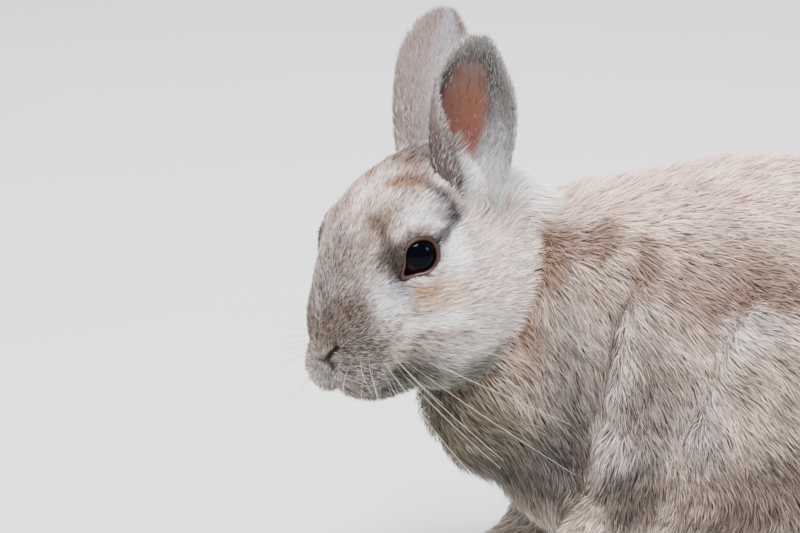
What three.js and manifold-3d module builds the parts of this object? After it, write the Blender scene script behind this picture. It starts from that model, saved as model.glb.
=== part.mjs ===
// A small domestic rabbit at life size, crouched on all fours with its head turned to its left.
// Millimetres, +Z up, nose towards -X, the rabbit's left side towards -Y.
// The body is one smooth field of named, blended forms. It is turned into closed
// surfaces and then parted into head, neck, trunk and limbs by thin cuts.
import * as THREE from 'three';
import { mergeVertices } from 'three/addons/utils/BufferGeometryUtils.js';
import Module from 'manifold-3d';

const wasm = await Module();
wasm.setup();

// ---------------------------------------------------------------- driving dimensions, mm
const seamGap = 0.3; // between neighbouring parts
const bodyCell = 10.4; // fineness of each surface
const headCell = 4.7;
const forepawCell = 4.3;
const hindfootCell = 6.3;
const cutterFacets = [14, 9]; // round and up a ball
const eyeFacets = [14, 9];

const headAt = [-68, -6, 118]; // middle of the skull
const headYaw = 23; // degrees, towards its left
const headPitch = 30; // degrees, nose down
const headBlend = 5; // how softly head and neck run together

const eyeRadius = 8.6;
const eyeAt = [6.3, 18.5, 18]; // in the head's frame, left side
const eyeGaze = [0.22, 0.93, 0.3];
const lidThickness = 1.6;
const lidOpening = [7.2, 6.1]; // half length and half height of the eye's opening

const earThickness = 2.4;
const earWidth = 14.4; // half the ear's breadth
const earShort = [-52, -14, 142]; // root of the left ear
const earLong = [-58, 10, 146]; // root of the right ear

const whiskerRoot = 0.4; // radius
const whiskerTip = 0.2;
const whiskersPerSide = 7;
const clawRoot = 1.5;
const clawTip = 0.4;

// ---------------------------------------------------------------- frames
const rad = THREE.MathUtils.degToRad;

// The head's axes: x to the nose, y to the rabbit's left, z to the crown.
function headMatrix() {
  const base = new THREE.Matrix4().makeBasis(
    new THREE.Vector3(-1, 0, 0),
    new THREE.Vector3(0, -1, 0),
    new THREE.Vector3(0, 0, 1),
  );
  const turn = new THREE.Matrix4()
    .makeRotationZ(rad(headYaw))
    .multiply(new THREE.Matrix4().makeRotationY(rad(headPitch)));
  return base.multiply(turn).setPosition(...headAt);
}
const fromHead = headMatrix();
const toHead = fromHead.clone().invert();
const worldOfHead = (x, y, z) => new THREE.Vector3(x, y, z).applyMatrix4(fromHead);

// ---------------------------------------------------------------- fields
// An ellipsoid, tilted about the y axis. A paired one stands on both sides.
function form(name, at, radii, { tilt = 0, blend = 8, paired = false } = {}) {
  const c = Math.cos(rad(tilt));
  const s = Math.sin(rad(tilt));
  return { name, at, radii, c, s, blend, paired };
}
function formDistance(f, x, y, z) {
  const dx = x - f.at[0];
  const dy = (f.paired ? Math.abs(y) : y) - f.at[1];
  const dz = z - f.at[2];
  const u = (f.c * dx - f.s * dz) / f.radii[0];
  const v = dy / f.radii[1];
  const w = (f.s * dx + f.c * dz) / f.radii[2];
  const k = Math.hypot(u, v, w);
  const g = Math.hypot(u / f.radii[0], v / f.radii[1], w / f.radii[2]) + 1e-9;
  return (k * (k - 1)) / g;
}
// A tapered limb between two joints.
function limb(name, from, to, radiusFrom, radiusTo, { blend = 8, paired = true } = {}) {
  const along = to.map((t, a) => t - from[a]);
  const length2 = along.reduce((sum, v) => sum + v * v, 0);
  return { name, from, along, length2, radiusFrom, radiusTo, blend, paired };
}
function limbDistance(l, x, y, z) {
  const dx = x - l.from[0];
  const dy = (l.paired ? Math.abs(y) : y) - l.from[1];
  const dz = z - l.from[2];
  const [ax, ay, az] = l.along;
  const t = THREE.MathUtils.clamp((dx * ax + dy * ay + dz * az) / l.length2, 0, 1);
  const gap = Math.hypot(dx - t * ax, dy - t * ay, dz - t * az);
  return gap - (l.radiusFrom + (l.radiusTo - l.radiusFrom) * t);
}
// Smooth minimum: the smaller of two distances, rounded where they are alike.
function blended(a, b, k) {
  const h = Math.max(k - Math.abs(a - b), 0) / k;
  return Math.min(a, b) - (h * h * k) / 4;
}
function fieldOf(forms, x, y, z) {
  let d = Infinity;
  for (const f of forms) {
    const own = f.radii ? formDistance(f, x, y, z) : limbDistance(f, x, y, z);
    d = d === Infinity ? own : blended(d, own, f.blend);
  }
  return d;
}

// ---------------------------------------------------------------- the forms
const headForms = [
  form('cranium', [-12, 0, 12], [31, 27, 28]),
  form('face', [12, 0, 9], [33, 20, 25], { tilt: 28, blend: 10 }),
  form('muzzle', [29, 0, -2], [17.5, 17, 18], { tilt: 25 }),
  form('lip pad', [39.2, 8, -8.2], [11.5, 9.2, 10.5], { tilt: 10, blend: 3, paired: true }),
  form('nose', [44.5, 0, 0.5], [5, 6.5, 6], { blend: 3 }),
  form('cheek', [-10, 15.5, -9], [30.5, 18.5, 26], { blend: 9, paired: true }),
  form('jaw', [19, 0, -18.8], [23, 13, 12.5], { blend: 7 }),
  form('jowl', [4, 12, -24], [20, 14, 14.5], { blend: 8, paired: true }),
  form('throat', [-14, 0, -13], [28, 24, 22], { blend: 10 }),
  form('brow', [4, 13.5, 21], [17, 9.5, 10], { tilt: 20, blend: 9, paired: true }),
];

const trunkForms = [
  form('loin', [54, 0, 88], [84, 49, 66]),
  form('rump', [102, 0, 70], [48, 46, 55], { blend: 18 }),
  form('withers', [0, 0, 98], [46, 38, 45], { blend: 22 }),
  form('breast', [-34, 0, 76], [33, 30, 36], { blend: 18 }),
  form('belly', [4, 0, 50], [40, 31, 36], { blend: 18 }),
  form('thigh', [74, 35, 64], [62, 23, 54], { tilt: 12, blend: 5, paired: true }),
  form('knee', [27, 41, 44], [23, 17, 33], { tilt: 28, blend: 9, paired: true }),
  form('shoulder', [8, 30, 80], [21, 20, 42], { tilt: -8, blend: 6, paired: true }),
  form('elbow', [5, 35, 55], [17, 15, 18], { blend: 8, paired: true }),
  limb('neck', [-8, 0, 108], [-52, -4, 116], 36, 15, { blend: 12, paired: false }),
  limb('forearm', [6, 37, 48], [-18, 26, 15], 15, 10.5),
  form('heel', [84, 40, 14], [12, 12, 15], { blend: 10, paired: true }),
  form('tail', [150, 0, 62], [12, 13, 24], { tilt: 12, blend: 5 }),
  form('nape', [-36, -3, 139], [20, 16, 16], { blend: 10 }),
];

// Four toes a foot, the middle two longest: root and tip of each, and its thickness.
const toeLengths = [12, 16, 15.5, 11];
function toes(name, root, spread, fan, reach, radius) {
  return toeLengths.map((length, i) => {
    const aside = i - 1.5;
    const from = [root[0], root[1] + aside * spread, root[2]];
    const to = [root[0] - length * reach, root[1] + aside * (spread + fan), radius - 1];
    return limb(name, from, to, radius + 0.6, radius, { blend: 2.2 });
  });
}
const forepawToes = toes('fore toe', [-31, 25, 7], 4.9, 1.1, 1, 4.6);
const hindfootToes = toes('hind toe', [19, 43.5, 7.5], 5.6, 1.3, 1.15, 5.4);
const forepaw = form('forepaw', [-26, 25, 8], [14, 10.5, 9.5], { blend: 6, paired: true });
const hindfoot = form('hindfoot', [51, 42, 9.5], [42, 12.5, 11], { blend: 7, paired: true });
const bodyForms = [...trunkForms, forepaw, hindfoot];

function headField(x, y, z) {
  const e = toHead.elements;
  return fieldOf(
    headForms,
    e[0] * x + e[4] * y + e[8] * z + e[12],
    e[1] * x + e[5] * y + e[9] * z + e[13],
    e[2] * x + e[6] * y + e[10] * z + e[14],
  );
}
const rabbitField = (x, y, z) =>
  blended(fieldOf(bodyForms, x, y, z), headField(x, y, z), headBlend);

// ---------------------------------------------------------------- surfaces
// Moves a point that is near the surface on to it, down the field's slope.
function settled(field, point, reach) {
  const h = 0.05;
  const p = [...point];
  for (let round = 0; round < 3; round++) {
    const d = field(...p);
    const slope = p.map((v, a) => {
      const q = [...p];
      q[a] = v + h;
      return (field(...q) - d) / h;
    });
    const steep = slope.reduce((sum, v) => sum + v * v, 0);
    slope.forEach((v, a) => (p[a] -= (v * d) / steep));
  }
  return Math.hypot(...p.map((v, a) => v - point[a])) < reach ? p : point;
}
// Where the inside touches itself across a corner the surface would share an edge with itself,
// so the nearer of the two outside corners there is filled in.
function unpinched(value, n, at, step, cell) {
  let changed = true;
  while (changed) {
    changed = false;
    for (let i = 0; i < n[0] - 1; i++)
      for (let j = 0; j < n[1] - 1; j++)
        for (let k = 0; k < n[2] - 1; k++)
          for (let axis = 0; axis < 3; axis++) {
            const here = at(i, j, k);
            const u = here + step[(axis + 1) % 3];
            const w = here + step[(axis + 2) % 3];
            const across = u + w - here;
            const inside = [here, u, w, across].map((c) => value[c] < 0);
            if (inside[0] !== inside[3] || inside[1] !== inside[2] || inside[0] === inside[1]) continue;
            const outer = inside[0] ? [u, w] : [here, across];
            value[value[outer[0]] < value[outer[1]] ? outer[0] : outer[1]] = -0.01 * cell;
            changed = true;
          }
  }
}
// One vertex in each cell that the surface crosses, begun at the mean of its edge crossings,
// and one four-sided face across each crossed edge.
function surfaceNet(field, low, high, cell) {
  const n = low.map((l, a) => Math.ceil((high[a] - l) / cell) + 1);
  const at = (i, j, k) => (i * n[1] + j) * n[2] + k;
  const value = new Float64Array(n[0] * n[1] * n[2]);
  for (let i = 0; i < n[0]; i++)
    for (let j = 0; j < n[1]; j++)
      for (let k = 0; k < n[2]; k++) {
        const edge = i === 0 || j === 0 || k === 0 || i === n[0] - 1 || j === n[1] - 1 || k === n[2] - 1;
        const d = field(low[0] + i * cell, low[1] + j * cell, low[2] + k * cell);
        value[at(i, j, k)] = edge ? Math.max(d, cell / 2) : d;
      }
  const step = [at(1, 0, 0), at(0, 1, 0), at(0, 0, 1)];
  unpinched(value, n, at, step, cell);
  const points = [];
  const faces = [];
  const vertexOf = new Map();
  for (let i = 0; i < n[0] - 1; i++)
    for (let j = 0; j < n[1] - 1; j++)
      for (let k = 0; k < n[2] - 1; k++) {
        const here = at(i, j, k);
        const sum = [0, 0, 0];
        let hits = 0;
        for (let c = 0; c < 8; c++) {
          const corner = [c >> 2, (c >> 1) & 1, c & 1];
          const a = value[here + corner[0] * step[0] + corner[1] * step[1] + corner[2] * step[2]];
          for (let axis = 0; axis < 3; axis++) {
            if (corner[axis]) continue;
            const b = value[here + corner[0] * step[0] + corner[1] * step[1] + corner[2] * step[2] + step[axis]];
            if (a < 0 === b < 0) continue;
            const t = a / (a - b);
            for (let m = 0; m < 3; m++) sum[m] += corner[m] + (m === axis ? t : 0);
            hits++;
          }
        }
        if (!hits) continue;
        vertexOf.set(here, points.length / 3);
        const mean = [i, j, k].map((v, m) => low[m] + (v + sum[m] / hits) * cell);
        points.push(...settled(field, mean, cell / 2));
      }
  for (let i = 0; i < n[0] - 1; i++)
    for (let j = 0; j < n[1] - 1; j++)
      for (let k = 0; k < n[2] - 1; k++)
        for (let axis = 0; axis < 3; axis++) {
          const place = [i, j, k];
          if (!place[(axis + 1) % 3] || !place[(axis + 2) % 3]) continue;
          const here = at(i, j, k);
          const inside = value[here] < 0;
          if (inside === value[here + step[axis]] < 0) continue;
          const u = step[(axis + 1) % 3];
          const w = step[(axis + 2) % 3];
          const ring = [here - u - w, here - w, here, here - u].map((c) => vertexOf.get(c));
          if (!inside) ring.reverse();
          faces.push(ring[0], ring[1], ring[2], ring[0], ring[2], ring[3]);
        }
  return closedGeometry(points, faces);
}
function closedGeometry(points, faces) {
  const geometry = new THREE.BufferGeometry();
  geometry.setAttribute('position', new THREE.Float32BufferAttribute(points, 3));
  geometry.setIndex(faces);
  return geometry;
}

// ---------------------------------------------------------------- solids
function solidOf(geometry) {
  const bare = geometry.clone();
  bare.deleteAttribute('normal');
  bare.deleteAttribute('uv');
  const merged = mergeVertices(bare, 1e-4);
  return new wasm.Manifold(
    new wasm.Mesh({
      numProp: 3,
      vertProperties: new Float32Array(merged.attributes.position.array),
      triVerts: new Uint32Array(merged.index.array),
    }),
  );
}
function geometryOf(solid) {
  const mesh = solid.getMesh();
  const geometry = new THREE.BufferGeometry();
  geometry.setAttribute('position', new THREE.Float32BufferAttribute(mesh.vertProperties, 3));
  geometry.setIndex(Array.from(mesh.triVerts));
  geometry.computeVertexNormals();
  return geometry;
}
// The largest closed surface of a solid.
function largest(solid) {
  return solid.decompose().reduce((best, s) => (s.volume() > best.volume() ? s : best));
}
const netSolid = (field, low, high, cell) => largest(solidOf(surfaceNet(field, low, high, cell)));

// Cutters: a box between two corners, a box with a turned frame, an ellipsoid.
function boxSolid(low, high, matrix = null) {
  const size = high.map((h, a) => h - low[a]);
  const geometry = new THREE.BoxGeometry(...size);
  geometry.translate(...high.map((h, a) => (h + low[a]) / 2));
  if (matrix) geometry.applyMatrix4(matrix);
  return solidOf(geometry);
}
function ballSolid(at, radii, matrix = null, facets = cutterFacets) {
  const geometry = new THREE.SphereGeometry(1, ...facets);
  geometry.scale(...radii).translate(...at);
  if (matrix) geometry.applyMatrix4(matrix);
  return solidOf(geometry);
}
// A round tapered rod along a smooth curve, with pointed or flat ends.
function rodSolid(points, radii, sides, steps) {
  const curve = new THREE.CatmullRomCurve3(points);
  const frames = curve.computeFrenetFrames(steps, false);
  const ring = (t) => radii[0] + (radii[1] - radii[0]) * t;
  const verts = [];
  const faces = [];
  for (let i = 0; i <= steps; i++) {
    const centre = curve.getPointAt(i / steps);
    for (let s = 0; s < sides; s++) {
      const a = (2 * Math.PI * s) / sides;
      const p = centre
        .clone()
        .addScaledVector(frames.normals[i], ring(i / steps) * Math.cos(a))
        .addScaledVector(frames.binormals[i], ring(i / steps) * Math.sin(a));
      verts.push(p.x, p.y, p.z);
    }
  }
  for (let i = 0; i < steps; i++)
    for (let s = 0; s < sides; s++) {
      const a = i * sides + s;
      const b = i * sides + ((s + 1) % sides);
      faces.push(a, b, b + sides, a, b + sides, a + sides);
    }
  const first = verts.length / 3;
  verts.push(...points[0].toArray(), ...points[points.length - 1].toArray());
  for (let s = 0; s < sides; s++) {
    const next = (s + 1) % sides;
    faces.push(first, next, s, first + 1, steps * sides + s, steps * sides + next);
  }
  return solidOf(closedGeometry(verts, faces));
}

// ---------------------------------------------------------------- ears
// Half breadth of an ear along its length, as a share of the widest, and its curl in degrees:
// nearly a closed, flattened tube at the foot and an open leaf at the tip.
const earWidest = 0.56;
const earRootBreadth = 0.6;
const earCurlRoot = 168;
const earCurlTip = 34;
const earFlatness = 0.6; // of the closed tube at an ear's foot, against round
const earRearCurl = 0.58; // of the half behind the opening, against the half before it
function earBreadth(t) {
  if (t < earWidest)
    return earRootBreadth + (1 - earRootBreadth) * Math.sin((Math.PI / 2) * (t / earWidest));
  const past = (t - earWidest) / (1 - earWidest);
  return Math.sqrt(Math.max(1 - past ** 2.3, 0));
}
// The cup of an ear: an inner and an outer face curled round the ear's length and joined at the rim.
function earSolid(root, tip, open, bend, front) {
  const rows = 13;
  const columns = 11;
  const from = new THREE.Vector3(...root);
  const up = new THREE.Vector3(...tip).sub(from);
  const length = up.length();
  up.normalize();
  const facing = new THREE.Vector3(...open);
  facing.addScaledVector(up, -facing.dot(up)).normalize();
  const side = new THREE.Vector3().crossVectors(up, facing);
  const verts = [];
  const faces = [];
  const index = (layer, i, j) => (layer * rows + i) * columns + j;
  for (let layer = 0; layer < 2; layer++)
    for (let i = 0; i < rows; i++) {
      const t = 0.5 * (i / (rows - 1)) + 0.25 * (1 - Math.cos((Math.PI * i) / (rows - 1)));
      const half = Math.max(earBreadth(t) * earWidth, 1.2);
      const curl = rad(earCurlTip + (earCurlRoot - earCurlTip) * (1 - t ** 2.2));
      const radius = half / Math.sin(Math.min(curl, Math.PI / 2));
      const thick = earThickness * (1 - 0.35 * t);
      const flat = 1 + (earFlatness - 1) * THREE.MathUtils.smoothstep(curl, rad(34), rad(100));
      for (let j = 0; j < columns; j++) {
        const s = (2 * j) / (columns - 1) - 1;
        const angle = s * curl * (s * front > 0 ? 1 : earRearCurl);
        const r = radius + layer * thick;
        const p = from
          .clone()
          .addScaledVector(up, t * length)
          .addScaledVector(facing, flat * (radius - r * Math.cos(angle)) - bend * Math.sin(Math.PI * t))
          .addScaledVector(side, r * Math.sin(angle));
        verts.push(p.x, p.y, p.z);
      }
    }
  const quad = (a, b, c, d) => faces.push(a, b, c, a, c, d);
  for (let i = 0; i < rows - 1; i++) {
    for (let j = 0; j < columns - 1; j++) {
      quad(index(0, i, j), index(0, i, j + 1), index(0, i + 1, j + 1), index(0, i + 1, j));
      quad(index(1, i, j), index(1, i + 1, j), index(1, i + 1, j + 1), index(1, i, j + 1));
    }
    const last = columns - 1;
    quad(index(0, i, 0), index(0, i + 1, 0), index(1, i + 1, 0), index(1, i, 0));
    quad(index(0, i, last), index(1, i, last), index(1, i + 1, last), index(0, i + 1, last));
  }
  for (let j = 0; j < columns - 1; j++) {
    const top = rows - 1;
    quad(index(0, 0, j), index(1, 0, j), index(1, 0, j + 1), index(0, 0, j + 1));
    quad(index(0, top, j), index(0, top, j + 1), index(1, top, j + 1), index(1, top, j));
  }
  return solidOf(closedGeometry(verts, faces));
}

// ---------------------------------------------------------------- parting
// What lies inside a cutter comes off with a thin gap round it. The cutter is a function of growth.
function partOff(body, cutter) {
  return [largest(body.subtract(cutter(seamGap))), largest(body.intersect(cutter(0)))];
}
const sides = [
  ['left', -1],
  ['right', 1],
];
const parts = {};

// The head: a fine surface inside a ball round the skull and blocks round the face and crown.
const headRegion = (grow) =>
  ballSolid([-6, 0, 2], [38 + grow, 38 + grow, 38 + grow], fromHead)
    .add(boxSolid([2 - grow, -45 - grow, -32.5 - grow], [70, 45 + grow, 70], fromHead))
    .add(boxSolid([-60, -45 - grow, 15 - grow], [70, 45 + grow, 70], fromHead));
const headLow = [-120, -62, 58];
const headHigh = [-14, 52, 178];
const headWhole = netSolid(rabbitField, headLow, headHigh, headCell);
const headSkin = netSolid((x, y, z) => rabbitField(x, y, z) - seamGap, headLow, headHigh, headCell);
let head = largest(headWhole.intersect(headRegion(0)));

// Eyes with their lids.
for (const [side, sign] of sides) {
  const turn = -sign;
  const centre = [eyeAt[0], turn * eyeAt[1], eyeAt[2]];
  const gaze = new THREE.Vector3(eyeGaze[0], turn * eyeGaze[1], eyeGaze[2]).normalize();
  const lidRadius = eyeRadius + seamGap + lidThickness;
  const along = new THREE.Vector3(1, 0, 0).addScaledVector(gaze, -gaze.x).normalize();
  const across = new THREE.Vector3().crossVectors(gaze, along);
  const frame = fromHead
    .clone()
    .multiply(new THREE.Matrix4().makeBasis(along, across, gaze).setPosition(...centre));
  const opening = new THREE.CylinderGeometry(1, 1, 1, 16).rotateX(Math.PI / 2);
  opening.scale(lidOpening[0], lidOpening[1], 3 * eyeRadius).translate(0, 0, 1.5 * eyeRadius).applyMatrix4(frame);
  const socket = eyeRadius + seamGap;
  head = head
    .add(ballSolid(centre, [lidRadius, lidRadius, lidRadius], fromHead, eyeFacets))
    .subtract(solidOf(opening))
    .subtract(ballSolid(centre, [socket, socket, socket], fromHead, eyeFacets));
  parts['eye_' + side] = ballSolid(centre, [eyeRadius, eyeRadius, eyeRadius], fromHead, eyeFacets);
}

// Nostrils, the cleft of the upper lip and the line of the mouth, as fine grooves.
const groove = (points, radii, steps) =>
  rodSolid(points.map((p) => worldOfHead(...p)), radii, 6, steps);
for (const turn of [1, -1]) {
  head = head.subtract(groove([[43, 8.5, 5], [47, 5.5, 2], [49.5, 1.6, -3]].map(([x, y, z]) => [x, turn * y, z]), [1.5, 1], 6));
  head = head.subtract(
    groove([[47.2, 0, -13], [44, 6, -17.5], [36, 12, -19.5], [26, 15, -19.5]].map(([x, y, z]) => [x, turn * y, z]), [1.1, 0.9], 10),
  );
}
head = head.subtract(groove([[49.8, 0, -2.5], [49, 0, -8], [47.4, 0, -13.6]], [1, 1], 5));

// Whiskers stand in rows on the lip pads and sweep out, forwards and a little down.
const whiskerRows = [-2, -6.5, -11];
for (const turn of [1, -1])
  for (let i = 0; i < whiskersPerSide; i++) {
    const row = i % whiskerRows.length;
    const column = Math.floor(i / whiskerRows.length);
    const length = 44 + 7 * column + 4 * row;
    const lift = 0.42 - 0.42 * row - 0.1 * column;
    const forward = 0.72 - 0.33 * column;
    const root = new THREE.Vector3(40 - 4.6 * column, turn * (11.2 + 1.1 * column), whiskerRows[row] + 0.6 * column);
    const way = new THREE.Vector3(forward, turn, lift).normalize();
    const points = [0, 0.35, 0.7, 1].map((t) =>
      root
        .clone()
        .addScaledVector(way, t * length)
        .add(new THREE.Vector3(-0.1 * length * t * t, 0, -0.14 * length * t * t)),
    );
    head = head.add(rodSolid(points.map((p) => p.applyMatrix4(fromHead)), [whiskerRoot, whiskerTip], 4, 4));
  }
parts.head = largest(head);

// Ears stand on the head with their cups to the side.
const earShapes = {
  left: [earShort, [-48.5, -20, 203.5], [-0.3, -0.95, 0], 3, -1],
  right: [earLong, [-50, 19, 207], [0.05, 0.98, 0], 3, 1],
};
for (const [side] of sides)
  parts['ear_' + side] = largest(earSolid(...earShapes[side]).subtract(headSkin));

// The rest of the body, cut flat where it stands.
const ground = boxSolid([-300, -200, -50], [300, 200, 0]);
let trunk = largest(
  netSolid(rabbitField, [-118, -74.4, -9.3], [178, 74.4, 190], bodyCell)
    .subtract(headRegion(seamGap))
    .subtract(ground),
);

// Paws are finer. Each is cut off by a block round it and given its claws.
function claws(solid, toeForms, sign) {
  let clawed = solid;
  for (const toe of toeForms) {
    const tip = toe.from.map((v, a) => v + toe.along[a]);
    const reach = toe.radiusTo;
    const points = [
      [tip[0] - 0.3 * reach, tip[1], tip[2] + 1.5],
      [tip[0] - reach - 1.5, tip[1], tip[2] + 0.6],
      [tip[0] - reach - 4.5, tip[1], clawTip + 0.8],
    ].map(([x, y, z]) => new THREE.Vector3(x, sign * y, z));
    clawed = clawed.add(rodSolid(points, [clawRoot, clawTip], 5, 3));
  }
  return largest(clawed);
}
function paw(name, cell, low, high, foot, toeForms, sign) {
  const footForms = [...trunkForms, foot, ...toeForms];
  const field = (x, y, z) => fieldOf(footForms, x, y, z);
  const ends = (grow) => {
    const a = [low[0] - grow, low[1] - grow, low[2]];
    const b = [high[0] + grow, high[1] + grow, high[2] + grow];
    return sign > 0 ? [a, b] : [[a[0], -b[1], a[2]], [b[0], -a[1], b[2]]];
  };
  const [from, to] = ends(2 * cell);
  const fine = netSolid(field, [from[0], from[1], -2 * cell], to, cell).subtract(ground);
  parts[name] = claws(largest(fine.intersect(boxSolid(...ends(0)))), toeForms, sign);
  trunk = largest(trunk.subtract(boxSolid(...ends(seamGap))));
}
for (const [side, sign] of sides) {
  paw('forepaw_' + side, forepawCell, [-60, 11, -20], [-11.5, 41, 17], forepaw, forepawToes, sign);
  paw('hindfoot_' + side, hindfootCell, [-11, 27, -20], [100, 60, 19], hindfoot, hindfootToes, sign);
}

// Limbs and trunk.
for (const [side, sign] of sides) {
  const y = (v) => sign * v;
  const forearm = (grow) =>
    rodSolid([new THREE.Vector3(9, y(38.5), 51), new THREE.Vector3(-22, y(24), 9)], [19 + grow, 14.5 + grow], 16, 2);
  [trunk, parts['forearm_' + side]] = partOff(trunk, forearm);
  const upperArm = (grow) => ballSolid([7, y(47), 78], [24 + grow, 26 + grow, 46 + grow]);
  [trunk, parts['upper_arm_' + side]] = partOff(trunk, upperArm);
  const haunch = (grow) => ballSolid([72, y(58), 66], [66 + grow, 36 + grow, 60 + grow]);
  let leg;
  [trunk, leg] = partOff(trunk, haunch);
  const shank = (grow) =>
    boxSolid([-100, -100, -60], [100, 100, grow], new THREE.Matrix4().makeRotationY(rad(-7)).setPosition(60, 0, 34));
  [parts['thigh_' + side], parts['shank_' + side]] = partOff(leg, shank);
}
const tail = (grow) => ballSolid([155, 0, 63], [17 + grow, 20 + grow, 30 + grow]);
[trunk, parts.tail] = partOff(trunk, tail);
const neck = (grow) =>
  boxSolid([-grow, -100, -14], [100, 100, 100], new THREE.Matrix4().makeRotationY(rad(-148)).setPosition(-26, 0, 122));
[trunk, parts.neck] = partOff(trunk, neck);
const chest = (grow) => boxSolid([-200, -100, -10], [24 + grow, 100, 300]);
[trunk, parts.chest] = partOff(trunk, chest);
const rump = (grow) => boxSolid([92 - grow, -100, -10], [300, 100, 300]);
[parts.loin, parts.rump] = partOff(trunk, rump);

// ---------------------------------------------------------------- the model
const coats = {
  head: 0xb9aaa2,
  ear: 0xb3a39b,
  neck: 0xa89a90,
  trunk: 0xb5a598,
  limb: 0xb3a79f,
  paw: 0xbfb5ad,
  tail: 0xc4bab2,
  eye: 0x14100e,
};
const coatOf = (name) => {
  if (name.startsWith('eye')) return ['eye', 0.06];
  if (name.startsWith('ear')) return ['ear', 0.85];
  if (/paw|foot/.test(name)) return ['paw', 0.9];
  if (/arm|thigh|shank/.test(name)) return ['limb', 0.9];
  return [name in coats ? name : 'trunk', 0.9];
};

const rabbit = new THREE.Group();
for (const [name, solid] of Object.entries(parts)) {
  const [coat, roughness] = coatOf(name);
  const material = new THREE.MeshStandardMaterial({ color: coats[coat], roughness, metalness: 0 });
  const mesh = new THREE.Mesh(geometryOf(solid), material);
  mesh.name = name;
  rabbit.add(mesh);
}
// The origin is under the middle of the whole, on the floor.
const bounds = new THREE.Box3().setFromObject(rabbit);
const middle = bounds.getCenter(new THREE.Vector3());
rabbit.position.set(-middle.x, -middle.y, -bounds.min.z);

export default rabbit;
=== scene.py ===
import bpy
import numpy as np
from mathutils import Matrix, Vector


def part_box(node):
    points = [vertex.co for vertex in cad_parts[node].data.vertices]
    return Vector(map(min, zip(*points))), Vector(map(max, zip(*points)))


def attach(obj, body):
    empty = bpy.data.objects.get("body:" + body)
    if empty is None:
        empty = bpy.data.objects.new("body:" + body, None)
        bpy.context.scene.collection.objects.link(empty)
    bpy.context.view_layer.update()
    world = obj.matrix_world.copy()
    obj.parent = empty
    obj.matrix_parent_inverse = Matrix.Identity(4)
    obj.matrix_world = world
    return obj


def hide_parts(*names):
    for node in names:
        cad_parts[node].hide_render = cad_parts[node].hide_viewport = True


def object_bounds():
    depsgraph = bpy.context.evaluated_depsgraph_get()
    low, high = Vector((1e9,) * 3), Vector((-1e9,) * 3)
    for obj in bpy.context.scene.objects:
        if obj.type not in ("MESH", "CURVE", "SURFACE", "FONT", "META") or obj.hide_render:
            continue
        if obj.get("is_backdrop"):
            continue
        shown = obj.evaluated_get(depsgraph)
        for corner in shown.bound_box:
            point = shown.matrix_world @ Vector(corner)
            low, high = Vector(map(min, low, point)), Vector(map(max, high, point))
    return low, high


# A small fawn rabbit, crouched, with its head turned to its left. Shapes are worked out in
# millimetres in the maker's own axes (nose to -X, the rabbit's left to -Y) and then moved to the frame.
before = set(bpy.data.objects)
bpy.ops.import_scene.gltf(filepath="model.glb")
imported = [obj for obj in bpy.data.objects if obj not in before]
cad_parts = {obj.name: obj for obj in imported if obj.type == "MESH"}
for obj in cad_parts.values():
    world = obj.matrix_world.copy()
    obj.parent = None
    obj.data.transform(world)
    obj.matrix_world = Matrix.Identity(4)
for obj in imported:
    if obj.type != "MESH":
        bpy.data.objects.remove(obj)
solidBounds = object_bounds()
loinLow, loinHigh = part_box("loin")
shift = np.array([loinLow[0] - 0.0243, (loinLow[1] + loinHigh[1]) / 2, 0.0])
print("frame loaded, shift", np.round(shift, 5))


def toFrame(points):  # the maker's millimetres as metres in the frame
    return np.asarray(points) / 1000 + shift


def unit(v):  # each vector over its length
    return v / (np.linalg.norm(v, axis=-1, keepdims=True) + 1e-12)


def smooth(low, high, x):  # an S-shaped step from 0 at low to 1 at high
    t = np.clip((x - low) / (high - low), 0, 1)
    return t * t * (3 - 2 * t)


def paint(red, green, blue):  # a screen colour of 0 to 255 as linear light
    c = np.array([red, green, blue]) / 255
    return np.where(c <= 0.04045, c / 12.92, ((c + 0.055) / 1.055) ** 2.4)


# Camera, floor and light

view = {"right": (0.966, -0.259, 0), "up": (0.0539, 0.2009, 0.9784), "back": (-0.253, -0.945, 0.208),
        "aside": -70, "rise": 113.2, "away": 2228.4, "lens": 282.9}
right, up, back = (unit(np.array(view[k], float)) for k in ("right", "up", "back"))
eyePoint = right * view["aside"] + up * view["rise"] + back * view["away"]
cameraData = bpy.data.cameras.new("camera")
cameraData.lens, cameraData.sensor_width = view["lens"], 36
cameraData.clip_start, cameraData.clip_end = 0.05, 60
camera = bpy.data.objects.new("camera", cameraData)
turn = Matrix((right, up, back)).transposed().to_4x4()
camera.matrix_world = Matrix.Translation(Vector(toFrame(eyePoint))) @ turn
bpy.context.scene.collection.objects.link(camera)
bpy.context.scene.camera = camera

lights = {  # place in metres, size, watts, tint
    "skyBox": ((-0.45, -0.62, 1.45), 0.6, 60, (1.0, 0.985, 0.965)),
    "sideBox": ((0.95, -0.95, 0.85), 0.36, 9, (0.94, 0.97, 1.0)),
    "backBox": ((0.25, 1.05, 1.2), 0.8, 22, (1.0, 0.99, 0.975)),
}
for name, (at, size, watts, tint) in lights.items():
    data = bpy.data.lights.new(name, "AREA")
    data.shape, data.size, data.energy, data.color = "SQUARE", size, watts, tint
    lamp = bpy.data.objects.new(name, data)
    lamp.location = at
    lamp.rotation_euler = (Vector((-0.02, 0, 0.09)) - Vector(at)).to_track_quat("-Z", "Y").to_euler()
    bpy.context.scene.collection.objects.link(lamp)
world = bpy.data.worlds.new("paleRoom")
world.use_nodes = True
world.node_tree.nodes["Background"].inputs[0].default_value = (0.80, 0.83, 0.86, 1)
world.node_tree.nodes["Background"].inputs[1].default_value = 0.95
bpy.context.scene.world = world
print("camera and lights")


# Shader helpers

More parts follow.
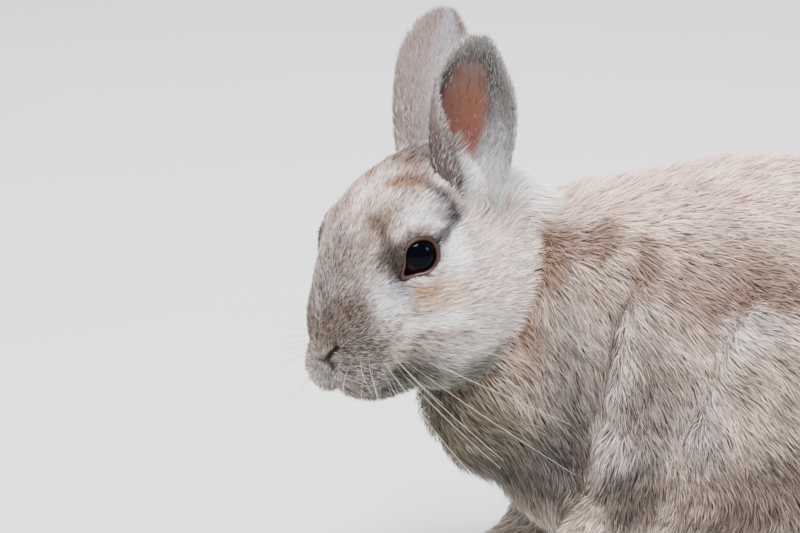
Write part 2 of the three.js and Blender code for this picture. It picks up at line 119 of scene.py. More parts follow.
class Wire:  # wraps a socket, so that a product of values adds a Math node
    def __init__(self, shop, socket):
        self.shop, self.socket = shop, socket

    def __mul__(self, other):
        return self.shop.node("ShaderNodeMath", {"operation": "MULTIPLY"}, {0: self, 1: other})

    __rmul__ = __mul__


class Shop:  # one material and the nodes in it
    def __init__(self, name, **fixed):
        self.material = bpy.data.materials.new(name)
        self.material.use_nodes = True
        self.tree = self.material.node_tree
        self.shader = self.tree.nodes["Principled BSDF"]
        for socket, value in fixed.items():
            self.shader.inputs[socket.replace("_", " ")].default_value = value

    def node(self, kind, settings=None, inputs=None, output=0):
        made = self.tree.nodes.new(kind)
        for key, value in (settings or {}).items():
            setattr(made, key, value)
        for key, value in (inputs or {}).items():
            if isinstance(value, Wire):
                self.tree.links.new(value.socket, made.inputs[key])
            else:
                made.inputs[key].default_value = value
        return Wire(self, made.outputs[output])

    def mix(self, mask, first, second, blend="MIX"):
        first, second = (c if isinstance(c, Wire) else (*c, 1) for c in (first, second))
        return self.node("ShaderNodeMix", {"data_type": "RGBA", "blend_type": blend},
                         {0: mask, 6: first, 7: second}, 2)

    def noise(self, scale, detail=3, rough=0.55):
        place = self.node("ShaderNodeTexCoord", output=3)
        return self.node("ShaderNodeTexNoise", {}, {"Vector": place, "Scale": scale, "Detail": detail,
                                                    "Roughness": rough})

    def attribute(self, name, output=0):
        return self.node("ShaderNodeAttribute", {"attribute_name": name}, output=output)

    def feed(self, **links):
        for socket, wire in links.items():
            self.tree.links.new(wire.socket, self.shader.inputs[socket.replace("_", " ")])

    def bump(self, height, strength, distance):
        self.feed(Normal=self.node("ShaderNodeBump", {}, {"Height": height, "Strength": strength,
                                                         "Distance": distance}))

    def grained(self, noise, share, under, bump=None, blend="MIX"):
        # the colour is the piece's tint with a share of another in the grain, which may also raise it
        grain = self.noise(*noise)
        self.feed(Base_Color=self.mix(grain * share, self.attribute("tint"), under, blend))
        if bump:
            self.bump(grain, *bump)


def makePiece(name, points, faces, material, colours=None, extra=None, patches=None, replaces=(), slot=None):
    # faces is one array of triangles or quads, or a list of such arrays
    groups = faces if isinstance(faces, list) else [faces]
    mesh = bpy.data.meshes.new(name)
    mesh.vertices.add(len(points))
    mesh.vertices.foreach_set("co", toFrame(points).astype(np.float32).ravel())
    corners = np.concatenate([g.ravel() for g in groups]).astype(np.int32)
    sizes = np.concatenate([np.full(len(g), g.shape[1]) for g in groups])
    mesh.loops.add(len(corners))
    mesh.loops.foreach_set("vertex_index", corners)
    mesh.polygons.add(len(sizes))
    starts = np.concatenate([[0], np.cumsum(sizes)[:-1]]).astype(np.int32)
    mesh.polygons.foreach_set("loop_start", starts)
    mesh.update(calc_edges=True)
    mesh.shade_smooth()
    if colours is not None:
        layer = mesh.attributes.new("tint", "FLOAT_COLOR", "POINT")
        four = np.concatenate([colours, np.ones((len(colours), 1))], 1)
        layer.data.foreach_set("color", four.astype(np.float32).ravel())
    for key, values in (extra or {}).items():
        layer = mesh.attributes.new(key, "FLOAT", "POINT")
        layer.data.foreach_set("value", np.asarray(values, np.float32))
    if patches is not None:
        flat = mesh.uv_layers.new(name="OFBake")
        flat.data.foreach_set("uv", patches[corners].astype(np.float32).ravel())
    mesh.materials.append(material)
    mesh.validate()
    piece = bpy.data.objects.new(name, mesh)
    bpy.context.scene.collection.objects.link(piece)
    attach(piece, "root")
    if replaces:
        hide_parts(*replaces)
    return piece


floorShop = Shop("paleFloor", Roughness=0.85)
floorGrain = floorShop.noise(9.0, 4)
floorShop.feed(Base_Color=floorShop.mix(floorGrain, (0.74, 0.745, 0.74), (0.79, 0.79, 0.785)))
floorMesh = bpy.data.meshes.new("floor")
floorMesh.from_pydata([(-9, -9, 0), (9, -9, 0), (9, 9, 0), (-9, 9, 0)], [], [(0, 1, 2, 3)])
floorMesh.materials.append(floorShop.material)
floor = bpy.data.objects.new("floor", floorMesh)
bpy.context.scene.collection.objects.link(floor)
floor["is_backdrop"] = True


# The forms of the body: centre, radii, tilt about y, blend with what stands before, coat depth

headPlace = {"at": (-68, -6, 118), "yaw": 23, "pitch": 30, "blend": 5}
headForms = {
    "cranium": ((-12, 0, 12), (31, 27, 28), 0, 8, 2.4),
    "face": ((12, 0, 9), (33, 20, 25), 28, 10, 1.8),
    "muzzle": ((29, 0, -2), (17.5, 17, 18), 25, 8, 1.5),
    "lipPads": ((39.2, 8, -8.2), (11.5, 9.2, 10.5), 10, 2.6, 1.9),
    "nose": ((44.5, 0, 0.5), (5, 6.5, 6), 0, 3, 1.2),
    "cheeks": ((-10, 15.5, -9), (30.5, 18.5, 26), 0, 9, 2.6),
    "jaw": ((19, 0, -18.8), (23, 13, 12.5), 0, 7, 1.8),
    "jowls": ((4, 12, -24), (20, 14, 14.5), 0, 8, 2.2),
    "throat": ((-14, 0, -13), (28, 24, 22), 0, 10, 3.0),
    "brows": ((4, 13.5, 21), (17, 9.5, 10), 20, 9, 1.7),
}
bodyForms = {
    "loin": ((54, 0, 88), (84, 49, 66), 0, 8, 4.2),
    "rump": ((102, 0, 70), (48, 46, 55), 0, 18, 4.6),
    "withers": ((0, 0, 98), (46, 38, 45), 0, 22, 4.6),
    "breast": ((-34, 0, 76), (33, 30, 36), 0, 18, 5.0),
    "belly": ((4, 0, 50), (40, 31, 36), 0, 18, 4.6),
    "thighs": ((74, 35, 64), (62, 23, 54), 12, 5, 4.2),
    "knees": ((27, 41, 44), (23, 17, 33), 28, 9, 3.8),
    "shoulders": ((8, 30, 80), (21, 20, 42), -8, 6, 4.2),
    "elbows": ((5, 35, 55), (17, 15, 18), 0, 8, 3.8),
    "neck": ((-8, 0, 108), (-52, -4, 116), (36, 15), 12, 4.6),
    "forearms": ((6, 37, 48), (-18, 26, 15), (15, 10.5), 8, 2.6),
    "heels": ((84, 40, 14), (12, 12, 15), 0, 10, 2.6),
    "tail": ((150, 0, 62), (12, 13, 24), 12, 5, 5.5),
    "nape": ((-36, -3, 139), (20, 16, 16), 0, 10, 4.6),
    "forepaws": ((-26, 25, 8), (14, 10.5, 9.5), 0, 6, 1.6),
    "hindfeet": ((51, 42, 9.5), (42, 12.5, 11), 0, 7, 1.8),
}
single = {"neck", "nape", "loin", "rump", "withers", "breast", "belly", "tail",
          "cranium", "face", "muzzle", "nose", "jaw", "throat"}  # the others stand on both sides
toes = {"lengths": (12, 16, 15.5, 11), "blend": 2.2, "coat": 1.3,
        "fore": {"root": (-31, 25, 7), "spread": 4.9, "fan": 1.1, "reach": 1.0, "radius": 4.6},
        "hind": {"root": (19, 43.5, 7.5), "spread": 5.6, "fan": 1.3, "reach": 1.15, "radius": 5.4}}


def toeLimbs(kind):  # four limbs side by side, each turned out a little more than the one within it
    foot = toes[kind]
    x, y, z = foot["root"]
    radii = (foot["radius"] + 0.6, foot["radius"])
    for i, length in enumerate(toes["lengths"]):
        aside = i - 1.5
        start = (x, y + aside * foot["spread"], z)
        end = (x - length * foot["reach"], y + aside * (foot["spread"] + foot["fan"]), foot["radius"] - 1)
        yield f"{kind}Toe{i}", (start, end, radii, toes["blend"], toes["coat"])


bodyForms.update(list(toeLimbs("fore")) + list(toeLimbs("hind")))


def turnAbout(axis, degrees):  # a turn about one axis as three rows of numbers
    return np.array(Matrix.Rotation(np.radians(degrees), 3, axis))


headAxes = np.diag([-1, -1, 1]) @ turnAbout("Z", headPlace["yaw"]) @ turnAbout("Y", headPlace["pitch"])
headAt = np.array(headPlace["at"], float)


def toHead(points):  # x to the nose, y to the rabbit's left, z to the crown
    return (points - headAt) @ headAxes


def fromHead(points):  # and back to the maker's axes
    return np.asarray(points) @ headAxes.T + headAt


def folded(points):  # both sides laid over each other, on the side of +y
    return points * (1, 0, 1) + np.abs(points) * (0, 1, 0)


def ballDistance(x, y, z, centre, radii, tilt):
    # k is the offset over the radii, g the same over their squares; the distance is near k (k - 1) / g
    c, s = np.cos(np.radians(tilt)), np.sin(np.radians(tilt))
    dx, dy, dz = x - centre[0], y - centre[1], z - centre[2]
    u, v, w = (c * dx - s * dz) / radii[0], dy / radii[1], (s * dx + c * dz) / radii[2]
    k = np.sqrt(u * u + v * v + w * w)
    g = np.sqrt((u / radii[0]) ** 2 + (v / radii[1]) ** 2 + (w / radii[2]) ** 2) + 1e-9
    return k * (k - 1) / g


def limbDistance(x, y, z, start, end, radii):
    # the gap to the nearest point of a line, less a radius that runs from one end's to the other's
    along = np.array(end, float) - start
    dx, dy, dz = x - start[0], y - start[1], z - start[2]
    t = np.clip((dx * along[0] + dy * along[1] + dz * along[2]) / (along @ along), 0, 1)
    gap = np.sqrt((dx - t * along[0]) ** 2 + (dy - t * along[1]) ** 2 + (dz - t * along[2]) ** 2)
    return gap - (radii[0] + (radii[1] - radii[0]) * t)


def blended(a, b, k):  # the smaller of two distances, rounded where they are alike, and how far it is b
    h = np.maximum(k - np.abs(a - b), 0) / k
    return np.minimum(a, b) - h * h * k / 4, np.clip(0.5 + 0.5 * (a - b) / k, 0, 1)


def formsField(forms, points):  # the distance, and the coat's depth carried along by the same blends
    x, y, z = points[:, 0], points[:, 1], points[:, 2]
    mirrored = np.abs(y)
    distance = depth = None
    for name, (first, second, third, blend, coat) in forms.items():
        side = y if name in single else mirrored
        measure = limbDistance if isinstance(third, tuple) else ballDistance
        own = measure(x, side, z, first, second, third)
        if distance is None:
            distance, depth = own, np.full_like(own, coat)
        else:
            distance, share = blended(distance, own, blend)
            depth = depth + (coat - depth) * share
    return distance, depth


eye = {"radius": 8.6, "at": (6.3, 18.5, 18), "gaze": (0.325, 0.93, 0.26), "lid": 1.0, "blend": 5, "tilt": 18,
       # half width, and its peaks at the tear corner and the rear one
       "inner": (5.4, 0.56, 0.07), "outer": (6.7, 0.64, 0.09), "thin below": 0.35}
grooves = {  # places along each in the head's frame, half width, how soft its edge is
    "nostril": ([(44.6, 7.2, 3.2), (46.6, 5.8, 2.2), (48.2, 3.8, 0.2), (49.4, 1.4, -3)], 0.6, 0.6),
    "philtrum": ([(49.8, 0.4, -3), (49.4, 0, -8), (48, 0, -14)], 1.2, 0.9),
    "mouth": ([(47.2, 0, -13), (44, 6, -17.5), (36, 12, -19.5), (26, 15, -19.5)], 1.0, 1.0),
}


def waves(points, size, seed):  # a smooth uneven value near -1 to 1: sines along turned directions
    source = np.random.default_rng(seed)
    total = 0
    for _ in range(6):
        way = unit(source.normal(size=3)) * source.uniform(0.6, 1.7) * 2 * np.pi / size
        bend = 1.3 * np.sin(points @ (way[[1, 2, 0]] * 0.6))
        total = total + np.sin(points @ way + source.uniform(0, 6.28) + bend)
    return total / 3


folds = {  # places along each in the maker's axes, depth and half width of the furrow; below 0 it is a ridge
    "behindChest": ([(2, 35, 119), (0, 37, 114), (-4, 39, 108), (-7, 39, 95), (-9, 37, 79),
                     (-10, 34, 67), (-12, 29, 55), (-11, 30, 43)], 3.4, 4.2),
    "armEdge": ([(3, 39, 110), (0, 41, 103), (-2, 42, 94), (-4, 41, 84), (-4, 39, 74)], -1.8, 3.6),
    "behindArm": ([(39, 40, 112), (36, 42, 105), (33, 44, 97), (26, 45, 86), (20, 46, 74), (14, 48, 63),
                   (9, 51, 53), (8, 51, 43)], 3.2, 4.4),
    "haunchEdge": ([(44, 43, 103), (38, 46, 95), (32, 47, 84), (26, 47, 74), (20, 49, 64)], -1.8, 4.0),
}


def lineWay(points, path):  # distance from points to a line through a path's places, and the way off it
    gap, way = np.full(len(points), 99.0), np.zeros_like(points)
    for start, end in zip(path[:-1], path[1:]):
        run = np.subtract(end, start)
        t = np.clip((points - start) @ run / (run @ run), 0, 1)
        off = points - start - t[:, None] * run
        far = np.linalg.norm(off, axis=1)
        nearer = far < gap
        gap[nearer], way[nearer] = far[nearer], off[nearer]
    return gap, way / np.maximum(gap, 1e-6)[:, None]


def unevenness(points):  # furrows and ridges between the limbs, and soft lumps of the coat
    total = 0.5 * waves(points, 24, 41) + 0.3 * waves(points, 11, 42)
    total = total * smooth(12, 30, points[:, 2])
    near = (points[:, 0] > -26) & (points[:, 0] < 60) & (np.abs(points[:, 1]) > 14) & (points[:, 2] > 30)
    for path, depth, half in folds.values():
        total[near] += depth * np.exp(-(lineWay(folded(points[near]), path)[0] / half) ** 2)
    return total


def eyeAxes(side):  # gaze, along the lids towards the nose, across them; side is 1 for the left eye
    gaze = unit(np.array(eye["gaze"], float) * (1, side, 1))
    along = unit(np.cross(np.cross(gaze, (1, 0, 0)), gaze))
    across = np.cross(gaze, along) * side
    t = np.radians(eye["tilt"])
    return gaze, along * np.cos(t) + across * np.sin(t), across * np.cos(t) - along * np.sin(t)


def lidOutline(edge, angle):  # half width round the gaze: round, with a peak at each corner of the lids
    half, tear, rear = eye[edge]
    wrapped = np.abs((angle + np.pi) % (2 * np.pi) - np.pi)
    peaks = tear * np.exp(-(wrapped / 0.33) ** 1.7) + rear * np.exp(-((np.pi - wrapped) / 0.5) ** 2)
    thin = eye["thin below"] * smooth(0.3, 0.9, np.cos(angle - 0.95)) if edge == "outer" else 0
    return half * (1 + peaks) - thin


def eyePlane(left):  # offset from the eye, distance out from its gaze and angle round it, for a left eye
    gaze, along, across = eyeAxes(1)
    offset = left - eye["at"]
    a, b = offset @ along, offset @ across
    return offset @ gaze, np.hypot(a, b), np.arctan2(b, a)


def plainSkin(points):  # the body's field sunk by the coat's depth, with the lids raised over the eyes
    bodyPart, bodyCoat = formsField(bodyForms, points)
    head = toHead(points)
    headPart, headCoat = formsField(headForms, head)
    distance, share = blended(bodyPart, headPart, headPlace["blend"])
    depth = bodyCoat + (headCoat - bodyCoat) * share
    skin = distance + depth + unevenness(points) * (1 - 0.75 * share)
    left = folded(head)
    far = np.linalg.norm(left - eye["at"], axis=1)
    lids = far - (eye["radius"] + eye["lid"])
    return blended(skin, lids, eye["blend"])[0], depth, left, far


def slopeOf(field, points, step=0.05):  # the field and how fast it grows along each axis
    here = field(points)
    return here, np.stack([(field(points + step * e) - here) / step for e in np.eye(3)], -1)


def settled(field, points, rounds=3, most=1.0):  # moves points down the field's slope until they lie on it
    for _ in range(rounds):
        here, slope = slopeOf(field, points)
        move = slope * (here / np.maximum((slope ** 2).sum(1), 0.2))[:, None]
        size = np.linalg.norm(move, axis=1, keepdims=True)
        points = points - move * np.minimum(1, most / np.maximum(size, 1e-9))
    return points


def onPlainSkin(places, rounds):  # places in the head's frame, moved on to the skin that has no grooves
    return toHead(settled(lambda points: plainSkin(points)[0], fromHead(places), rounds))


groovePaths = {name: onPlainSkin(path, 6) for name, (path, _, _) in grooves.items()}


def grooveGap(left, name, half=0):  # distance to a groove's line less its half width, near the nose alone
    gap = np.full(len(left), 9.0)
    near = left[:, 0] > 15
    path = groovePaths[name]
    for start, end in zip(path[:-1], path[1:]):
        gap[near] = np.minimum(gap[near], limbDistance(*left[near].T, start, end, (half, half)))
    return gap


def skinField(points):  # the plain skin, cut away in front of the eyes and along the grooves
    skin, _, left, far = plainSkin(points)
    ahead, aside, angle = eyePlane(left)
    opening = np.where(ahead > 0, aside - lidOutline("outer", angle) + 0.55, 9)
    skin = -blended(-skin, opening, 1.2)[0]
    skin = np.maximum(skin, eye["radius"] + 0.15 - far)
    for name, (_, half, edge) in grooves.items():
        skin = -blended(-skin, grooveGap(left, name, half), edge)[0]
    return skin


# One skin over it all

net = {"low": (-128, -66, -4), "high": (170, 66, 196), "cell": 1.9, "coarse": 5}


def netGrid():  # the field on a coarse grid first, then on the fine one wherever the skin is near
    cell, skip = net["cell"], net["coarse"]
    low = np.array(net["low"], float)
    counts = np.ceil((np.array(net["high"]) - low) / (cell * skip)).astype(int)
    axes = [low[a] + cell * skip * np.arange(counts[a] + 1) for a in range(3)]
    coarse = skinField(np.stack(np.meshgrid(*axes, indexing="ij"), -1).reshape(-1, 3)).reshape(counts + 1)
    corners = [coarse[i:i + counts[0], j:j + counts[1], k:k + counts[2]] for i, j, k in np.ndindex(2, 2, 2)]
    near = np.min(np.abs(corners), axis=0) < cell * skip * 1.3
    for axis in range(3):
        near = np.repeat(near, skip, axis)
    value = coarse[:-1, :-1, :-1]
    for axis in range(3):
        value = np.repeat(value, skip, axis)
    places = np.argwhere(near)
    value[near] = skinField(low + places * cell)
    return value, low


def surfaceNet(value, low, cell):
    # one vertex in each crossed cell at the mean of its edge crossings, one quad across each crossed edge
    n = np.array(value.shape)
    inside = value < 0
    part = lambda grid, c: grid[tuple(slice(c[a], n[a] - 1 + c[a]) for a in range(3))]
    shifts = list(np.ndindex(2, 2, 2))
    filled = sum(part(inside, c).astype(np.int8) for c in shifts)
    crossed = (filled > 0) & (filled < 8)
    index = np.full(n - 1, -1)
    index[crossed] = np.arange(crossed.sum())
    total, hits = np.zeros((crossed.sum(), 3)), np.zeros(crossed.sum())
    for c in shifts:
        for axis in range(3):
            if c[axis]:
                continue
            other = tuple(1 if a == axis else c[a] for a in range(3))
            a, b = part(value, c)[crossed], part(value, other)[crossed]
            hit = (a < 0) != (b < 0)
            t = np.where(hit, a / np.where(hit, a - b, 1), 0)
            place = np.tile(np.array(c, float), (len(a), 1))
            place[:, axis] += t
            total += place * hit[:, None]
            hits += hit
    points = low + cell * (np.argwhere(crossed) + total / hits[:, None])
    quads = []
    for axis in range(3):
        u, w = (axis + 1) % 3, (axis + 2) % 3
        first = np.argwhere(np.diff(inside.astype(np.int8), axis=axis) != 0)
        first = first[(first[:, [u, w]] > 0).all(1) & (first[:, [u, w]] < n[[u, w]] - 1).all(1)]
        eu, ew = np.eye(3, dtype=int)[[u, w]]
        ring = np.stack([index[tuple((first - s).T)] for s in (eu + ew, ew, 0, eu)], 1)
        flip = ~inside[tuple(first.T)]
        ring[flip] = ring[flip][:, ::-1]
        quads.append(ring)
    quads = np.concatenate(quads)
    quads = quads[(quads >= 0).all(1)]
    return points, np.concatenate([quads[:, [0, 1, 2]], quads[:, [0, 2, 3]]])


def refined(points, triangles, wanted):
    # cuts each edge longer than wanted at its middle; a face ends as one triangle more than it has cuts
    ends = np.sort(triangles[:, [0, 1, 1, 2, 2, 0]].reshape(-1, 2), axis=1)
    keys, which = np.unique(ends[:, 0] * len(points) + ends[:, 1], return_inverse=True)
    edges = np.stack([keys // len(points), keys % len(points)], 1)
    middle = points[edges].mean(1)
    cut = np.linalg.norm(points[edges[:, 0]] - points[edges[:, 1]], axis=1) > wanted(middle)
    number = np.full(len(edges), -1)
    number[cut] = len(points) + np.arange(cut.sum())
    halves = number[which.reshape(-1, 3)]
    amount = (halves >= 0).sum(1)
    out = [triangles[amount == 0]]
    (a, b, c), (ab, bc, ca) = triangles[amount == 3].T, halves[amount == 3].T
    out += [np.stack(t, 1) for t in ((a, ab, ca), (ab, b, bc), (ca, bc, c), (ab, bc, ca))]
    for r in range(3):
        tri, half = np.roll(triangles, -r, 1), np.roll(halves, -r, 1)
        one = (amount == 1) & (half[:, 0] >= 0)
        (a, b, c), ab = tri[one].T, half[one, 0]
        out += [np.stack(t, 1) for t in ((a, ab, c), (ab, b, c))]
        two = (amount == 2) & (half[:, 2] < 0)
        (a, b, c), (ab, bc, _) = tri[two].T, half[two].T
        out += [np.stack(t, 1) for t in ((ab, b, bc), (a, ab, bc), (a, bc, c))]
    return np.concatenate([points, middle[cut]]), np.concatenate(out)


def wantedEdge(points):  # long on the trunk, short on the head, shortest round the eyes and the nose
    head = toHead(points)
    left = folded(head)
    onHead = smooth(62, 46, np.linalg.norm(head - (10, 0, 2), axis=1))
    byEye = smooth(16, 11.5, np.linalg.norm(left - eye["at"], axis=1))
    byNose = smooth(22, 14, np.linalg.norm(left - (46, 4, -6), axis=1))
    return 3.4 - 1.75 * onHead - 0.95 * np.maximum(byEye, byNose) * onHead


fieldValue, fieldLow = netGrid()
skinPoints, skinFaces = surfaceNet(fieldValue, fieldLow, net["cell"])
skinPoints = settled(skinField, skinPoints, 3)
for _ in range(3):
    before = len(skinPoints)
    skinPoints, skinFaces = refined(skinPoints, skinFaces, wantedEdge)
    skinPoints[before:] = settled(skinField, skinPoints[before:], 2, 0.6)
skinPoints[:, 2] = np.maximum(skinPoints[:, 2], 0.5)
fieldSlope = np.stack(np.gradient(fieldValue, net["cell"]), -1)
print("skin", len(skinPoints), "points", len(skinFaces), "triangles")


def readGrid(grid, points):  # the values at points between the grid's, each a mean of the eight round it
    n = np.array(grid.shape[:3])
    at = np.clip((points - fieldLow) / net["cell"], 0, n - 1.001)
    base = at.astype(int)
    part = at - base
    flat = grid.reshape(n.prod(), -1)
    total = 0
    for corner in np.ndindex(2, 2, 2):
        share = np.where(corner, part, 1 - part).prod(1)
        x, y, z = (base + corner).T
        total = total + flat[(x * n[1] + y) * n[2] + z] * share[:, None]
    return total


# Markings: each is a soft ball of colour at a place, with radii, a screen colour and a strength

groundColour = {"head": (214, 198, 190), "body": (194, 172, 158)}
headMarks = {
    "crownFawn": ((-14, 0, 38), (26, 22, 15), (136, 104, 88), 0.92),
    "foreheadPale": ((8, 0, 37), (16, 12, 12), (240, 224, 220), 0.85),
    "bridgeGrey": ((27, 0, 26), (13, 13, 11), (130, 113, 108), 0.85),
    "bridgeLower": ((37, 0, 16), (10, 13, 10), (160, 150, 147), 0.8),
    "noseSide": ((40, 9, 10), (11, 9, 9), (101, 84, 74), 0.9),
    "noseTip": ((46, 3, 5), (6, 8, 7), (134, 116, 105), 0.9),
    "lipPads": ((41, 13, -2), (11, 9, 11), (114, 105, 101), 0.92),
    "upperLip": ((48, 0, -9), (6, 7, 8), (150, 144, 141), 0.8),
    "lipEdge": ((42, 9, -15), (12, 10, 6), (108, 104, 98), 0.85),
    # painted shade under the chin
    "chinShade": ((30, 8, -21), (17, 15, 9), (82, 80, 73), 0.9),
    "cheekCream": ((2, 26, -19), (8, 5, 6), (246, 222, 194), 0.7),
    "cheekPale": ((-8, 28, 1), (18, 14, 15), (226, 208, 206), 0.8),
    "cheekLow": ((4, 26, -18), (18, 12, 9), (226, 216, 212), 0.85),
    "cheekShade": ((0, 27, -15), (6, 6, 4), (182, 176, 174), 0.5),
    # painted shade under the jaw
    "jawUnderShade": ((10, 12, -33), (25, 24, 12), (100, 105, 95), 0.9),
    "throatBrown": ((-22, 20, -34), (18, 20, 12), (160, 142, 128), 0.8),
    "browFawn": ((11, 11, 31), (8, 6, 6), (138, 108, 90), 0.7),
    "paleAboveEye": ((0, 19.5, 28), (8, 6, 6), (224, 220, 224), 0.7),
    "behindEye": ((-1.5, 26, 14.5), (5.2, 7, 9), (254, 252, 255), 1.0),
    "belowEyePale": ((8, 25, 8), (8, 6, 4), (244, 236, 232), 0.75),
    "tearLight": ((23, 17, 11), (7, 7, 7), (226, 224, 232), 0.9),
    "orangeBelow": ((12.5, 22.5, 6.2), (7, 6, 4.4), (232, 188, 148), 0.78),
    "orangeFaint": ((6, 25, 0), (7, 6, 4), (218, 186, 160), 0.6),
    "paleBelow": ((14, 23, -6), (9, 8, 6), (230, 221, 216), 0.7),
    "templeWhite": ((-27, 18, 32), (14, 13, 12), (255, 253, 255), 1.0),
    "earFrontDark": ((-24, 4, 36), (10, 12, 8), (92, 81, 75), 0.9),
    "frontOfEye": ((17, 19.5, 21.5), (5.5, 6.5, 7), (50, 43, 43), 0.9),
    "browGrey": ((-8, 22, 25), (6, 5, 6), (104, 96, 102), 0.7),
}
bodyMarks = {
    # paler along the top of the back: pale fur with painted light from above laid over it
    "backPaleLit": ((60, 0, 150), (120, 34, 30), (250, 212, 202), 0.9),
    "napeWhite": ((-34, 4, 152), (19, 18, 14), (255, 255, 255), 1.0),
    "neckRustHigh": ((-27, 20, 127), (8, 11, 14), (126, 95, 78), 0.9),
    "neckRustLow": ((-35, 28, 104), (7, 11, 18), (130, 98, 76), 0.8),
    "neckBrown": ((-10, 24, 130), (8, 7, 6), (112, 84, 68), 0.75),
    "shoulderBrown": ((3, 33, 122), (8, 7, 6), (128, 98, 82), 0.75),
    "neckShade": ((-22, 32, 97), (13, 12, 22), (140, 126, 120), 0.85),
    # partly darker fur, partly painted shade under the head
    "breast": ((-54, 14, 66), (26, 24, 26), (88, 80, 63), 0.88),
    # painted shade under the breast
    "breastUnderShade": ((-30, 18, 52), (22, 24, 18), (79, 75, 70), 0.85),
    "chestShade": ((-21, 28, 66), (9, 12, 28), (86, 80, 79), 0.85),
    "shoulderFawn": ((6, 39, 110), (22, 14, 16), (174, 155, 147), 0.75),
    "upperArm": ((2, 44, 78), (12, 12, 20), (108, 97, 93), 0.85),
    "armFront": ((-9, 38, 70), (5, 8, 16), (190, 183, 181), 0.8),
    "armPale": ((2, 47, 58), (9, 9, 8), (112, 108, 108), 0.7),
    # painted shade low on the foreleg, under the chest
    "armLowShade": ((-4, 46, 46), (13, 12, 13), (52, 47, 45), 0.85),
    "flankFawn": ((34, 40, 116), (34, 16, 14), (155, 128, 115), 0.8),
    "flankBand": ((52, 42, 112), (26, 12, 5), (118, 93, 79), 0.75),
    "haunchPale": ((38, 46, 102), (12, 12, 6), (196, 183, 179), 0.7),
    "haunchSide": ((56, 52, 84), (26, 12, 12), (164, 144, 134), 0.8),
    "haunchFront": ((22, 46, 70), (8, 10, 22), (146, 134, 133), 0.8),
    # painted shade low on the thigh, towards the floor
    "thighLowShade": ((48, 54, 46), (44, 14, 19), (98, 84, 76), 0.85),
    "rumpFawn": ((132, 0, 108), (30, 48, 30), (204, 182, 168), 0.6),
    "bellyPale": ((20, 0, 22), (90, 30, 14), (214, 206, 196), 0.8),
    "tailWhite": ((160, 0, 62), (9, 16, 30), (240, 236, 230), 0.7),
    "pawsPale": ((-32, 26, 6), (18, 14, 12), (216, 204, 192), 0.8),
    "feetPale": ((34, 43, 8), (48, 16, 12), (212, 200, 188), 0.8),
}


headStrokes = {  # places along each in the head's frame, half width, a screen colour and a strength
    "browArc": ([(-1, 6, 37.5), (-6, 11, 36), (-9, 15, 34), (-11, 19, 30)], 2.2, (92, 74, 66), 0.85),
    # painted shade: dark strokes along the crease behind the eye
    "creaseHighShade": ([(-10, 18, 31), (-11, 20, 28.5), (-11, 22, 26)], 2.2, (82, 74, 76), 0.7),
    "creaseLowShade": ([(-10, 23, 24), (-8, 24, 22.5), (-3, 25.5, 20.5), (1, 26, 20.5)], 2.1, (50, 44, 48), 0.92),
    "browLine": ([(11, 7, 33), (13, 13, 30), (15, 18, 26), (17.5, 20, 20)], 2.2, (76, 62, 54), 0.7),
    "fawnStreak": ([(15, 2, 33), (9, 3.5, 35), (4, 5, 36.5), (-2, 7, 37)], 1.6, (190, 146, 112), 0.6),
    "fawnSpot": ([(-4, 9, 36.5), (-5, 14, 35)], 1.8, (176, 132, 104), 0.6),
    # painted shade: a dark stroke down the cleft between the lip pads
    "lipCleftShade": ([(49.6, 1, -3), (49.6, 0, -8), (48, 0, -15)], 1.7, (34, 27, 26), 0.9),
    # partly the brown fur round the nostril, partly painted shade beside its slit
    "noseEdgeFurAndShade": ([(44, 7.6, 3.8), (46.6, 6, 2.2), (48.4, 4, 0), (49.5, 1.4, -3)], 1.3, (66, 52, 44), 0.7),
    # painted shade along the line of the mouth
    "lipLineShade": ([(47.4, 1, -14.5), (44, 6, -18), (36, 12, -20)], 1.8, (104, 98, 94), 0.5),
    "cheekTuft": ([(23, 16.5, -2), (17, 21.5, -3.5), (10, 25.5, -7)], 2.2, (252, 248, 248), 0.8),
    # painted shade along the fold under the white cheek tuft
    "cheekFoldShade": ([(22, 18, -7), (16, 22, -9.5), (10, 26, -14)], 1.5, (150, 134, 120), 0.65),
    # painted shade: greyer low on the cheek, towards the underside of the jaw
    "cheekUnderShade": ([(18, 20, -15), (8, 26, -18), (2, 28, -24)], 2.2, (160, 156, 150), 0.5),
}
bodyStrokes = {
    # painted shade along the furrow in front of the arm
    "chestFurrowShade": ([(-3, 38, 112), (-6, 38, 103), (-9, 38, 92),
                     (-11, 36, 79), (-12, 33, 67), (-13, 29, 55)],
                    3.2, (78, 66, 62), 0.85),
    # painted shade along the furrow on the neck
    "neckFurrowShade": ([(3, 28, 129), (3, 33, 123), (0, 37, 115)], 3.4, (104, 80, 66), 0.7),
    # painted light along the raised edge of the arm, over paler fur
    "armEdgePaleAndLit": ([(1, 39, 110), (-1, 41, 103), (-2, 41, 94), (-4, 40, 84)], 2.8, (198, 184, 177), 0.55),
    "armTuftPale": ([(-6, 36, 70), (-6, 38, 66), (-2, 45, 59)], 3.0, (190, 182, 178), 0.5),
    # painted shade along the furrow behind the arm
    "armFurrowShade": ([(38, 41, 108), (32, 44, 97), (24.5, 45, 86), (18, 46, 74), (11, 48, 63), (7, 51, 51)],
                  2.1, (112, 94, 84), 0.8),
    # painted light along the raised edge of the haunch, over paler fur
    "haunchEdgePaleAndLit": ([(41, 42, 104), (35, 45, 95), (28.5, 46, 85), (21.5, 47, 74), (15, 49, 63)],
                       2.8, (216, 204, 200), 0.7),
    "flankDark": ([(40, 34, 127), (45, 38, 121), (54, 41, 116), (64, 43, 111)], 2.8, (134, 106, 90), 0.65),
}
oneSided = {"browLine"}  # faint on the right side of the head
lashShade = {"reach": 2.6, "middle": 262, "strength": 0.72, "colour": (72, 57, 47)}  # round the upper lid


